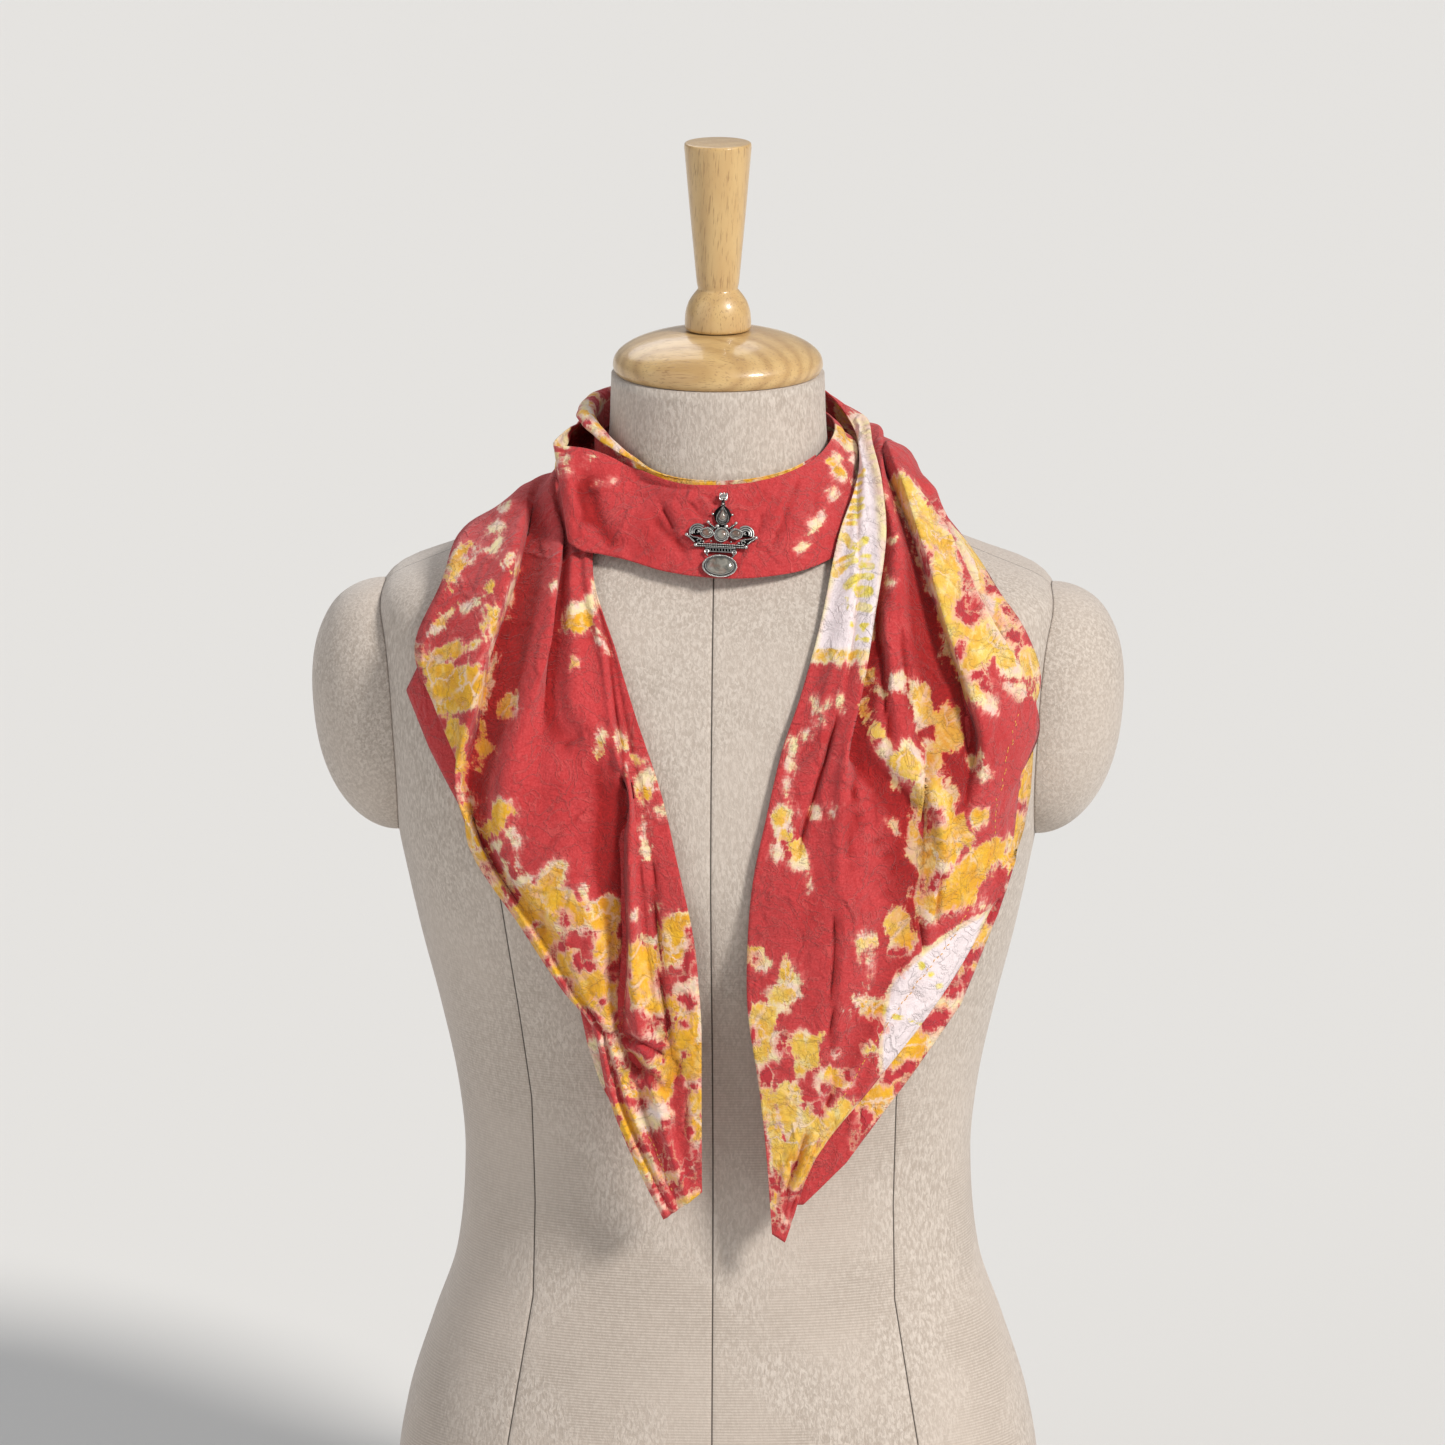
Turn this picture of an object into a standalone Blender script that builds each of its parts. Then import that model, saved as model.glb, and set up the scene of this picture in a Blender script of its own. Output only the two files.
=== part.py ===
"""A square tie-dyed cotton scarf, folded to a band and wound once round the neck of a
dress form, with a cast metal brooch on the front of the band. Millimetres below are
turned into metres where a mesh is made. +Z is up, the front faces -Y, and the origin
is the middle of the flat underside of the form."""

import math
from typing import NamedTuple

import bmesh
import bpy
from mathutils import Matrix, Vector
from mathutils.bvhtree import BVHTree

MM = 0.001
GAP = 0.3  # between pieces that touch
CLOTH = 1.6  # thickness of one cloth wall
CUT = 0.5  # between one stretch of the scarf and the next
CLEAR = CLOTH / 2 + GAP + 0.4  # from what lies under a wall to the wall's middle

# Linear colours of the real surfaces
CORAL = (0.50, 0.035, 0.035)
GOLD = (0.72, 0.40, 0.03)
FORM_CLOTH = (0.50, 0.45, 0.39)
PALE_WOOD = (0.62, 0.42, 0.19)
DARK_SILVER = (0.30, 0.29, 0.28)
GREY_STONE = (0.20, 0.19, 0.17)


def material(name, colour, roughness, metallic=0.0):
    made = bpy.data.materials.new(name)
    made.use_nodes = True
    shader = made.node_tree.nodes["Principled BSDF"]
    shader.inputs["Base Color"].default_value = (*colour, 1.0)
    shader.inputs["Roughness"].default_value = roughness
    shader.inputs["Metallic"].default_value = metallic
    return made


def place(name, bm, finish, smooth_below=40.0, transform=None):
    """Turns a bmesh in millimetres into a named object in metres."""
    bmesh.ops.recalc_face_normals(bm, faces=bm.faces)
    if transform is not None:
        bm.transform(transform)
    bm.transform(Matrix.Scale(MM, 4))
    mesh = bpy.data.meshes.new(name)
    bm.to_mesh(mesh)
    bm.free()
    mesh.shade_smooth()
    mesh.set_sharp_from_angle(angle=math.radians(smooth_below))
    mesh.materials.append(finish)
    made = bpy.data.objects.new(name, mesh)
    bpy.context.scene.collection.objects.link(made)
    return made


def surface_of(thing):
    """The finished surface of a piece, in millimetres, for laying cloth on it."""
    bpy.context.view_layer.update()
    graph = bpy.context.evaluated_depsgraph_get()
    evaluated = thing.evaluated_get(graph)
    mesh = evaluated.to_mesh()
    corners = [vertex.co / MM for vertex in mesh.vertices]
    faces = [tuple(polygon.vertices) for polygon in mesh.polygons]
    evaluated.to_mesh_clear()
    return BVHTree.FromPolygons(corners, faces)


def spline(values, at):
    """Catmull-Rom through evenly numbered values, read at a fractional place."""
    last = len(values) - 1
    at = min(max(at, 0.0), last - 1e-9)
    i = int(at)
    t = at - i
    a, b, c, d = (values[min(max(k, 0), last)] for k in (i - 1, i, i + 1, i + 2))
    return (
        b
        + (c - a) * (0.5 * t)
        + (a * 2 - b * 5 + c * 4 - d) * (0.5 * t * t)
        + (b * 3 - a - c * 3 + d) * (0.5 * t * t * t)
    )


# The form: its outline from the front and the side, as level sections


class Level(NamedTuple):
    height: float
    half_width: float
    front: float
    back: float
    squareness: float


FORM = [
    Level(0, 172, 112, 112, 2.3),
    Level(70, 179, 118, 121, 2.3),
    Level(120, 172.5, 113, 116, 2.3),
    Level(165, 158.5, 105, 105, 2.3),
    Level(205, 145, 97, 93, 2.3),
    Level(262, 140, 92, 83, 2.3),
    Level(305, 144, 95, 82, 2.3),
    Level(350, 153.5, 105, 86, 2.3),
    Level(390, 163.5, 119, 93, 2.3),
    Level(430, 172, 130, 100, 2.4),
    Level(450, 175.5, 131, 102, 2.6),
    Level(490, 180, 125, 106, 2.9),
    Level(530, 183.5, 113, 108, 3.1),
    Level(560, 185.5, 101, 105, 3.1),
    Level(578, 185, 92, 100, 3.0),
    Level(588, 177, 86, 96, 2.8),
    Level(597, 156, 81, 91, 2.5),
    Level(606, 134, 76.5, 86, 2.3),
    Level(616, 111, 72.5, 79, 2.15),
    Level(626, 90, 68.5, 73, 2.05),
    Level(636, 73, 65, 68, 2.0),
    Level(648, 63, 61.2, 62.6, 2.0),
    Level(664, 59.8, 59.8, 59.8, 2.0),
    Level(700, 58.2, 58.2, 58.2, 2.0),
]
NECK_TOP = FORM[-1].height
BUST_HEIGHT = 448
FORM_SPOKES = 36
FORM_FOOT_ROUND = 5
FORM_RINGS = (
    [0, 6, 35, 70, 105, 140, 175, 210, 245, 280, 315, 350, 385, 415, 440, 465]
    + [490, 515, 540, 560, 574, 583, 589, 595, 603, 612, 621, 629, 637, 645, 654, 668]
    + [NECK_TOP]
)


def level_at(height):
    """The form's section at a height, smooth through the rows of FORM."""
    height = min(max(height, 0.0), NECK_TOP)
    i = max(k for k in range(len(FORM) - 1) if FORM[k].height <= height)
    low, high = FORM[i], FORM[i + 1]
    span = high.height - low.height
    t = (height - low.height) / span

    def slope(k, column):
        before, after = FORM[max(k - 1, 0)], FORM[min(k + 1, len(FORM) - 1)]
        return (after[column] - before[column]) / (after.height - before.height)

    def value(column):
        return (
            (2 * t**3 - 3 * t**2 + 1) * low[column]
            + (t**3 - 2 * t**2 + t) * span * slope(i, column)
            + (3 * t**2 - 2 * t**3) * high[column]
            + (t**3 - t**2) * span * slope(i + 1, column)
        )

    return Level(height, *(value(column) for column in range(1, 5)))


def form_point(height, angle, shrink=0.0):
    """A point of the form's skin; angle 0 is the right side, 90 degrees the back."""
    level = level_at(height)
    power = 2 / level.squareness
    c, s = math.cos(angle), math.sin(angle)
    depth = level.back if s > 0 else level.front
    x = math.copysign(abs(c) ** power, c) * (level.half_width - shrink)
    y = math.copysign(abs(s) ** power, s) * (depth - shrink)
    return Vector((x, y, height))


def form_front(x, height):
    """How far forward the form's skin lies at a place seen from the front."""
    level = level_at(height)
    share = min(abs(x) / level.half_width, 1.0)
    return -level.front * (1 - share**level.squareness) ** (1 / level.squareness)


def form_side(y, height):
    """The half width of the form at a depth and a height."""
    level = level_at(height)
    share = min(abs(y) / (level.back if y > 0 else level.front), 1.0)
    return level.half_width * (1 - share**level.squareness) ** (1 / level.squareness)


def make_form(finish):
    """The body and neck in one closed skin, flat underneath."""
    bm = bmesh.new()
    rings = []
    for height in FORM_RINGS:
        shrink = FORM_FOOT_ROUND if height == 0 else 0.0
        ring = [
            bm.verts.new(form_point(height, 2 * math.pi * k / FORM_SPOKES, shrink))
            for k in range(FORM_SPOKES)
        ]
        rings.append(ring)
    for lower, upper in zip(rings, rings[1:]):
        for k in range(FORM_SPOKES):
            n = (k + 1) % FORM_SPOKES
            bm.faces.new((lower[k], lower[n], upper[n], upper[k]))
    bm.faces.new(reversed(rings[0]))
    bm.faces.new(rings[-1])
    return place("form_body", bm, finish)


# The padded shoulders, sewn over the armholes

SHOULDER_TOP = 583
SHOULDER_FOOT = 445
SHOULDER_HALF_DEPTH = 56
SHOULDER_BULGE = 40
SHOULDER_RIM = 3.0
SHOULDER_SEAM = 0.7
SHOULDER_SQUARENESS = 2.35
SHOULDER_RINGS = 6
SHOULDER_SPOKES = 24


def shoulder_point(side, share, angle, on_body):
    """A point of a pad: one side follows the body, the other is domed."""
    half_height = (SHOULDER_TOP - SHOULDER_FOOT) / 2
    c, s = math.cos(angle), math.sin(angle)
    power = 2 / SHOULDER_SQUARENESS
    y = math.copysign(abs(c) ** power, c) * SHOULDER_HALF_DEPTH * share
    rise = math.copysign(abs(s) ** power, s) * half_height * share
    height = (SHOULDER_TOP + SHOULDER_FOOT) / 2 + rise
    out = form_side(y, height) + SHOULDER_SEAM
    if not on_body:
        dome = math.sqrt(max(0.0, 1 - share**SHOULDER_SQUARENESS))
        out += SHOULDER_RIM + (SHOULDER_BULGE - SHOULDER_RIM) * dome
    return Vector((side * out, y, height))


def make_shoulder(name, side, finish):
    bm = bmesh.new()
    rims = []
    for on_body in (True, False):
        middle = bm.verts.new(shoulder_point(side, 0.0, 0.0, on_body))
        rings = []
        for r in range(1, SHOULDER_RINGS + 1):
            share = math.sin(math.pi / 2 * r / SHOULDER_RINGS)
            turns = [2 * math.pi * k / SHOULDER_SPOKES for k in range(SHOULDER_SPOKES)]
            points = [shoulder_point(side, share, turn, on_body) for turn in turns]
            rings.append([bm.verts.new(point) for point in points])
        for k in range(SHOULDER_SPOKES):
            n = (k + 1) % SHOULDER_SPOKES
            bm.faces.new((middle, rings[0][k], rings[0][n]))
            for inner, outer in zip(rings, rings[1:]):
                bm.faces.new((inner[k], outer[k], outer[n], inner[n]))
        rims.append(rings[-1])
    on_body, domed = rims
    for k in range(SHOULDER_SPOKES):
        n = (k + 1) % SHOULDER_SPOKES
        bm.faces.new((on_body[k], domed[k], domed[n], on_body[n]))
    return place(name, bm, finish)


# The turned wood on the neck: a domed cap, and a handle that screws into it

CAP_PROFILE = [  # radius, height above the neck's top
    (0, 0.3), (55.5, 0.3), (57.3, 3), (57.5, 6.5), (56, 10.5), (51, 15),
    (42, 19), (31, 22), (22, 23.6), (0, 24),
]
HANDLE_FOOT = 24 + GAP
HANDLE_PROFILE = [  # radius, height above the handle's foot
    (0, 0), (17.4, 0), (18.1, 1.2), (18.2, 6), (17.4, 12), (15.2, 17), (12.4, 20.5),
    (11.0, 22.3), (11.0, 23.2), (11.6, 26), (15.2, 64), (18.4, 101), (18.2, 102.6),
    (17.4, 103.2), (0, 103.6),
]
TURNED_STEPS = 28


def make_turned(name, profile, foot, finish):
    """A solid of revolution about the neck's axis."""
    bm = bmesh.new()
    points = [bm.verts.new((radius, 0, height)) for radius, height in profile]
    edges = [bm.edges.new(pair) for pair in zip(points, points[1:])]
    bmesh.ops.spin(
        bm,
        geom=points + edges,
        axis=(0, 0, 1),
        cent=(0, 0, 0),
        angle=2 * math.pi,
        steps=TURNED_STEPS,
        use_merge=True,
    )
    bmesh.ops.remove_doubles(bm, verts=bm.verts, dist=0.01)
    return place(name, bm, finish, 30.0, Matrix.Translation((0, 0, foot)))


# The scarf: one strip of gathered cloth, wound from the left tip up over the left
# shoulder, behind the neck, across its front as the band, behind it again and down
# over the right shoulder. Every section runs from its outer or lower edge to its
# inner or upper edge, and nine fold lines cross it at the shares given.


class Hanging(NamedTuple):
    """Across a tail on the form's front: heights and x of both edges."""

    height_out: float
    outer: float
    height_in: float
    inner: float
    shares: list
    lifts: list


class Draped(NamedTuple):
    """Across the strip anywhere: both edges as points, crowned between them."""

    outer: tuple
    inner: tuple
    crown: float
    shares: list
    lifts: list


class Wound(NamedTuple):
    """Across the strip round the neck, at an angle from the front towards +X."""

    angle: float
    lower_radius: float
    lower_height: float
    upper_radius: float
    upper_height: float
    belly: float
    lifts: list


FOLD_LINES = 9
EVEN = [k / (FOLD_LINES - 1) for k in range(FOLD_LINES)]
FLAT = [0] * FOLD_LINES
ON_UNDER_LAYER = 4.2  # from the form's skin to the middle of a tail's wall
HANG_LEAN = 0.075  # how fast a tail swings back towards the form below the bust

LEFT_TAIL = [
    Hanging(254, -26, 270, -5, [0, .1, .2, .3, .4, .5, .65, .8, 1], [1, 2, 1, 2, 1, 2, 3, 2, 1]),
    Hanging(290, -43, 296, -5, [0, .09, .17, .26, .35, .44, .57, .72, 1], [1, 3, 1, 4, 2, 2, 6, 2, 3]),
    Hanging(325, -56, 330, -5, [0, .06, .12, .2, .28, .36, .52, .7, 1], [1, 4, 1, 5, 3, 1, 8, 2, 4]),
    Hanging(362, -64, 362, -5, [0, .04, .08, .13, .18, .24, .45, .67, 1], [1, 3, 1, 4, 3, 0, 9, 2, 4]),
    Hanging(384, -81, 382, -6, [0, .05, .09, .18, .3, .4, .55, .7, 1], [1, 3, 1, 5, 5, 0, 10, 2, 3]),
    Hanging(417, -103, 415, -9, [0, .06, .1, .25, .43, .56, .65, .74, 1], [1, 4, 1, 6, 6, 0, 9, 2, 3]),
    Hanging(458, -131, 458, -18, [0, .06, .1, .21, .47, .71, .77, .83, 1], [1, 5, 1, 8, 7, 0, 8, 3, 2]),
    Hanging(495, -138, 495, -27, [0, .05, .08, .25, .5, .8, .85, .9, 1], [1, 8, 1, 10, 7, 1, 7, 2, 2]),
    Hanging(534, -149, 534, -41, [0, .21, .25, .44, .56, .8, .86, .92, 1], [1, 12, 1, 11, 6, 5, 5, 2, 2]),
    Hanging(562, -160, 566, -52, [0, .31, .35, .57, .64, .83, .89, .94, 1], [2, 12, 2, 9, 4, 6, 3, 4, 2]),
    Draped(
        (-147, -62, 594), (-64, -84, 598), 2,
        [0, .42, .48, .7, .77, .85, .91, .96, 1], [2, 10, 2, 6, 2, 4, 2, 3, 1],
    ),
    Draped(
        (-140, -24, 612), (-66, -62, 618), 3,
        [0, .4, .5, .68, .76, .84, .9, .95, 1], [2, 7, 2, 4, 2, 4, 2, 3, 1],
    ),
    Draped(
        (-122, 4, 620), (-68, -30, 642), 6,
        [0, .28, .42, .54, .64, .74, .83, .92, 1], [2, 6, 3, 5, 2, 4, 2, 3, 1],
    ),
]
NAPE_INNER = [
    Wound(-122, 102, 627, 67, 663, 3, [1, 4, 1, 4, 1, 3, 1, 2, 1]),
    Wound(-150, 88, 633, 65, 671, 1, [0, 3, 0, 3, 0, 3, 0, 2, 0]),
    Wound(-180, 80, 636, 65, 675, 1, [0, 3, 0, 3, 0, 3, 0, 2, 0]),
    Wound(-212, 81, 636, 65, 675, 1, [0, 3, 0, 3, 0, 2, 0, 2, 0]),
    Wound(-240, 84, 637, 64.5, 673, 1, [0, 2, 0, 3, 0, 2, 0, 1, 0]),
]
BAND = [
    Wound(-265, 87, 640, 64, 671, 1, [0, 2, 0, 2, 0, 2, 0, 1, 0]),
    Wound(-285, 91, 632, 64, 666, 1, [0, 1, 0, 2, 0, 2, 0, 1, 0]),
    Wound(-305, 95, 619, 65, 660, 1, [0, 0, 1, 1, 0, 1, 1, 1, 0]),
    Wound(-325, 94, 608.5, 66, 655, 1, [0, 1, 2, 3, 3, 2, 1, 0, 0]),
    Wound(-343, 89.5, 604.5, 66, 652, 1, FLAT),
    Wound(-360, 88, 604.5, 66, 651, 0.5, FLAT),
    Wound(-377, 88, 607, 66, 651.5, 0.5, FLAT),
    Draped((-47, -79, 612.5), (-41, -49, 655), 1, EVEN, [0, 0, 1, 2, 2, 1, 0, 0, 0]),
    Draped((-60, -77, 615), (-57, -47.5, 663), 1, EVEN, FLAT),
    Draped((-69, -76, 616), (-70, -46, 667), 1, EVEN, [0, 0, 0, 1, 1, 1, 0, 0, 0]),
    Draped((-76, -74, 618.5), (-82, -44.5, 668), 1, EVEN, FLAT),
    Draped((-80, -69, 621), (-88.5, -40, 667), 1, EVEN, FLAT),
    Draped((-81, -59, 628), (-88, -29, 668), 1, EVEN, FLAT),
    Draped((-86, -28, 642), (-81, -9, 671), 1, EVEN, [0, 1, 0, 1, 0, 1, 0, 1, 0]),
]
NAPE_OUTER = [
    Wound(-455, 89, 647, 75, 671.5, 1, [0, 1, 0, 2, 0, 2, 0, 1, 0]),
    Wound(-480, 89, 646, 74, 679, 1, [0, 2, 0, 3, 0, 2, 0, 2, 0]),
    Wound(-508, 89, 644, 72, 684, 1, [0, 3, 0, 3, 0, 3, 0, 2, 0]),
    Wound(-540, 89, 643, 71.5, 687, 1, [0, 3, 0, 3, 0, 3, 0, 3, 0]),
    Wound(-570, 91, 641, 71, 686, 1, [0, 3, 0, 3, 0, 3, 0, 3, 0]),
    Wound(-594, 100, 639, 71, 682, 2, [1, 4, 1, 4, 1, 4, 1, 3, 0]),
]
RIGHT_TAIL = [
    Draped(
        (108, 32, 632), (72, 24, 668), 8,
        [0, .3, .46, .54, .64, .74, .8, .9, 1], [1, 6, 3, 2, 5, 2, 5, 3, 1],
    ),
    Draped(
        (124, 0, 620), (76, -8, 658), 9,
        [0, .3, .5, .56, .62, .7, .75, .87, 1], [1, 7, 6, 2, 6, 2, 6, 4, 1],
    ),
    Draped(
        (141, -34, 605), (75.5, -40, 644), 8,
        [0, .24, .49, .53, .62, .69, .73, .86, 1], [1, 6, 9, 3, 7, 2, 7, 5, 1],
    ),
    Draped(
        (154, -58, 590), (67, -66, 622), 4,
        [0, .2, .46, .5, .6, .69, .73, .85, 1], [1, 5, 10, 3, 7, 2, 8, 6, 1],
    ),
    Hanging(571, 168, 580, 58, [0, .13, .4, .44, .58, .7, .76, .85, 1], [2, 5, 11, 3, 8, 2, 9, 6, 1]),
    Hanging(543, 176, 545, 48, [0, .08, .34, .38, .54, .69, .75, .84, 1], [2, 5, 11, 3, 8, 2, 9, 6, 1]),
    Hanging(516, 174, 516, 38, [0, .05, .28, .32, .5, .67, .74, .82, 1], [1, 5, 10, 3, 8, 2, 9, 5, 1]),
    Hanging(482, 165, 482, 30, [0, .07, .18, .23, .34, .4, .71, .84, 1], [1, 5, 7, 4, 8, 1, 8, 3, 1]),
    Hanging(448, 160, 448, 23, [0, .05, .13, .23, .28, .34, .66, .83, 1], [1, 4, 5, 5, 7, 1, 8, 4, 1]),
    Hanging(414, 147, 414, 20, [0, .06, .13, .2, .25, .3, .59, .8, 1], [1, 3, 4, 4, 5, 2, 7, 4, 1]),
    Hanging(375, 123, 375, 20, [0, .06, .13, .19, .25, .31, .53, .76, 1], [1, 3, 4, 3, 4, 2, 6, 3, 1]),
    Hanging(330, 88, 330, 26, [0, .06, .12, .18, .25, .32, .47, .72, 1], [1, 3, 3, 3, 4, 2, 5, 3, 1]),
    Hanging(291, 58, 291, 30, [0, .08, .16, .24, .32, .4, .52, .74, 1], [1, 3, 2, 3, 2, 2, 4, 2, 1]),
    Hanging(241, 40, 246, 33, [0, .12, .25, .37, .5, .62, .75, .87, 1], [1, 1, 1, 1, 1, 1, 1, 1, 1]),
]


def lies_at(x, height, stand_off):
    """A point of cloth on the form's front, or hanging clear of it below the bust."""
    on_form = form_front(x, height)
    if height < BUST_HEIGHT:
        bust = form_front(min(abs(x), 150), BUST_HEIGHT)
        on_form = min(on_form, bust + HANG_LEAN * (BUST_HEIGHT - height))
    return Vector((x, on_form - stand_off, height))


def fold_columns(shares, lifts, steps):
    """Shares and lifts at every column: the fold lines and the steps between them."""
    columns = []
    for k in range(FOLD_LINES - 1):
        for step in range(steps):
            t = step / steps
            soft = (1 - math.cos(math.pi * t)) / 2
            share = shares[k] + (shares[k + 1] - shares[k]) * t
            columns.append((share, lifts[k] + (lifts[k + 1] - lifts[k]) * soft))
    columns.append((shares[-1], lifts[-1]))
    return columns


def hanging_point(row, share):
    x = row.outer + (row.inner - row.outer) * share
    height = row.height_out + (row.height_in - row.height_out) * share
    return lies_at(x, height, ON_UNDER_LAYER)


def draped_point(row, share):
    away = Vector((0, -0.35, 1)).normalized()
    chord = Vector(row.outer).lerp(Vector(row.inner), share)
    return chord + away * row.crown * math.sin(math.pi * share)


def wound_point(row, share):
    angle = math.radians(row.angle)
    radius = row.lower_radius + (row.upper_radius - row.lower_radius) * share
    radius += row.belly * math.sin(math.pi * share)
    rise = row.lower_height + (row.upper_height - row.lower_height) * share
    return Vector((radius * math.sin(angle), -radius * math.cos(angle), rise))


POINT_OF = {Hanging: hanging_point, Draped: draped_point, Wound: wound_point}


def section(row, steps):
    """The unlifted points of a row of the tables, and each point's lift."""
    shares = EVEN if isinstance(row, Wound) else row.shares
    columns = fold_columns(shares, row.lifts, steps)
    make_point = POINT_OF[type(row)]
    return [make_point(row, share) for share, _ in columns], [lift for _, lift in columns]


def normals_of(rows):
    """The outward direction at each point of a strip."""
    directions = []
    for k, row in enumerate(rows):
        before, after = rows[max(k - 1, 0)], rows[min(k + 1, len(rows) - 1)]
        line = []
        for c in range(len(row)):
            across = row[min(c + 1, len(row) - 1)] - row[max(c - 1, 0)]
            line.append(across.cross(after[c] - before[c]).normalized())
        directions.append(line)
    return directions


def folded_strip(tables, steps, rows_between):
    """Rows of points through the tables, smooth along the strip, with its folds."""
    sections = [section(row, steps) for row in tables]
    width = len(sections[0][0])
    flat, lifts = [], []
    for k in range((len(sections) - 1) * rows_between + 1):
        at = k / rows_between
        flat.append([spline([s[0][c] for s in sections], at) for c in range(width)])
        lifts.append([spline([s[1][c] for s in sections], at) for c in range(width)])
    outward = normals_of(flat)
    return [
        [p + n * lift for p, n, lift in zip(points, directions, heights)]
        for points, directions, heights in zip(flat, outward, lifts)
    ]


SEARCH = 22  # how far out a surface under the cloth is looked for
ROUNDS = 4


def shortfall(point, outward, surface, clearance):
    """How far out a point has to move to lie clear of a surface."""
    start = point + outward * SEARCH
    hit, _, _, distance = surface.ray_cast(start, -outward, SEARCH + clearance)
    if hit is not None:
        return SEARCH - distance + clearance
    near, _, _, distance = surface.find_nearest(point, clearance)
    return clearance - distance if near is not None else 0.0


def laid_on(rows, surfaces, clearance=CLEAR):
    """The rows moved out where they, or the faces between them, touch a surface."""
    rows = [list(row) for row in rows]
    height, width = len(rows), len(rows[0])
    for _ in range(ROUNDS):
        outward = normals_of(rows)
        push = [[0.0] * width for _ in range(height)]
        for k in range(height):
            for c in range(width):
                ahead, beside = min(k + 1, height - 1), min(c + 1, width - 1)
                for far_row, far_column in ((k, c), (ahead, c), (k, beside), (ahead, beside)):
                    around = [(i, j) for i in {k, far_row} for j in {c, far_column}]
                    spot = sum((rows[i][j] for i, j in around), Vector()) / len(around)
                    direction = sum((outward[i][j] for i, j in around), Vector()).normalized()
                    needs = [shortfall(spot, direction, s, clearance) for s in surfaces]
                    for i, j in around:
                        push[i][j] = max(push[i][j], *needs)
        for k in range(height):
            for c in range(width):
                rows[k][c] = rows[k][c] + outward[k][c] * push[k][c]
    return rows


def cut_short(rows, at_start, at_end):
    """Half the gap between two stretches taken off each end that meets another."""
    rows = [list(row) for row in rows]
    if at_start:
        rows[0] = [p + (q - p).normalized() * CUT / 2 for p, q in zip(rows[0], rows[1])]
    if at_end:
        rows[-1] = [p + (q - p).normalized() * CUT / 2 for p, q in zip(rows[-1], rows[-2])]
    return rows


def make_cloth(name, rows, finish, thickness=CLOTH):
    """A wall of cloth: the rows as its middle surface, thickened both ways."""
    bm = bmesh.new()
    grid = [[bm.verts.new(point) for point in row] for row in rows]
    for lower, upper in zip(grid, grid[1:]):
        for c in range(len(lower) - 1):
            bm.faces.new((lower[c], lower[c + 1], upper[c + 1], upper[c]))
    made = place(name, bm, finish, 75.0)
    wall = made.modifiers.new("wall", "SOLIDIFY")
    wall.thickness = thickness * MM
    wall.offset = 0.0
    return made


TAIL_STEPS = 3
NECK_STEPS = 2
ROWS_BETWEEN = 2
STRETCHES = (LEFT_TAIL, NAPE_INNER, BAND, NAPE_OUTER, RIGHT_TAIL)


def stretch_rows(number, steps):
    """The rows of one stretch, from its first section to the next one's first."""
    whole = [row for table in STRETCHES for row in table]
    first = sum(len(table) for table in STRETCHES[:number])
    last = first + len(STRETCHES[number])
    strip = folded_strip(whole, steps, ROWS_BETWEEN)
    rows = strip[first * ROWS_BETWEEN : last * ROWS_BETWEEN + 1]
    return cut_short(rows, number > 0, number < len(STRETCHES) - 1)


# The second layer of the folded square, which shows past the tails' slanting edges


class Under(NamedTuple):
    height: float
    outer: float
    inner: float


LEFT_UNDER = [
    Under(268, -30, -12),
    Under(300, -43, -13),
    Under(330, -60, -13),
    Under(352, -67, -13),
    Under(372, -71, -14),
    Under(413, -98, -17),
    Under(458, -129, -27),
    Under(482, -137.5, -32),
    Under(510, -154, -42),
    Under(538, -167, -52),
    Under(553, -160, -64),
    Under(570, -148, -76),
]
RIGHT_UNDER = [
    Under(548, 163, 78),
    Under(528, 170, 66),
    Under(506, 173, 54),
    Under(480, 171.5, 42),
    Under(460, 168, 36),
    Under(437, 161, 32),
    Under(418, 155, 30),
    Under(394, 145, 29),
    Under(370, 135, 30),
    Under(356, 125, 31),
    Under(331, 107, 34),
    Under(314, 94, 36),
    Under(285, 73, 37),
    Under(262, 50, 36),
]
UNDER_COLUMNS = 8
UNDER_STAND_OFF = 1.5


def under_rows(table):
    """A layer that lies on the form, from its slanting edge inwards."""
    rows = []
    for row in table:
        shares = [c / (UNDER_COLUMNS - 1) for c in range(UNDER_COLUMNS)]
        reach = row.inner - row.outer
        rows.append(
            [lies_at(row.outer + reach * s, row.height, UNDER_STAND_OFF) for s in shares]
        )
    return rows


# The layer folded inside the band: its edge shows above the band's, and rolls over
# where it rises round the left of the neck


class Fold(NamedTuple):
    angle: float
    foot_radius: float
    foot_height: float
    top_radius: float
    top_height: float
    roll: float


INNER_FOLD = [
    Fold(58, 64.6, 653, 63.6, 662, 0.0),
    Fold(38, 64.3, 650, 63.5, 657.5, 0.0),
    Fold(14, 64.0, 648, 63.5, 654.5, 0.0),
    Fold(-10, 64.0, 648, 63.5, 654.5, 0.0),
    Fold(-30, 64.3, 649, 63.7, 657, 0.3),
    Fold(-45, 65.0, 652, 64.4, 663.0, 1.2),
    Fold(-62, 66.0, 653, 65.5, 670.5, 2.3),
    Fold(-80, 66.8, 656, 67.8, 677.0, 2.8),
    Fold(-100, 67.5, 659, 68.5, 680.0, 2.8),
    Fold(-118, 68.0, 664, 68.8, 681.5, 2.0),
    Fold(-134, 68.5, 668, 69.5, 682.0, 1.0),
]
FOLD_WALL = 1.0
ROLL_COLUMNS = 6
FOLD_COLUMNS = 4
ROLL_TURN = math.radians(150)


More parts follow.
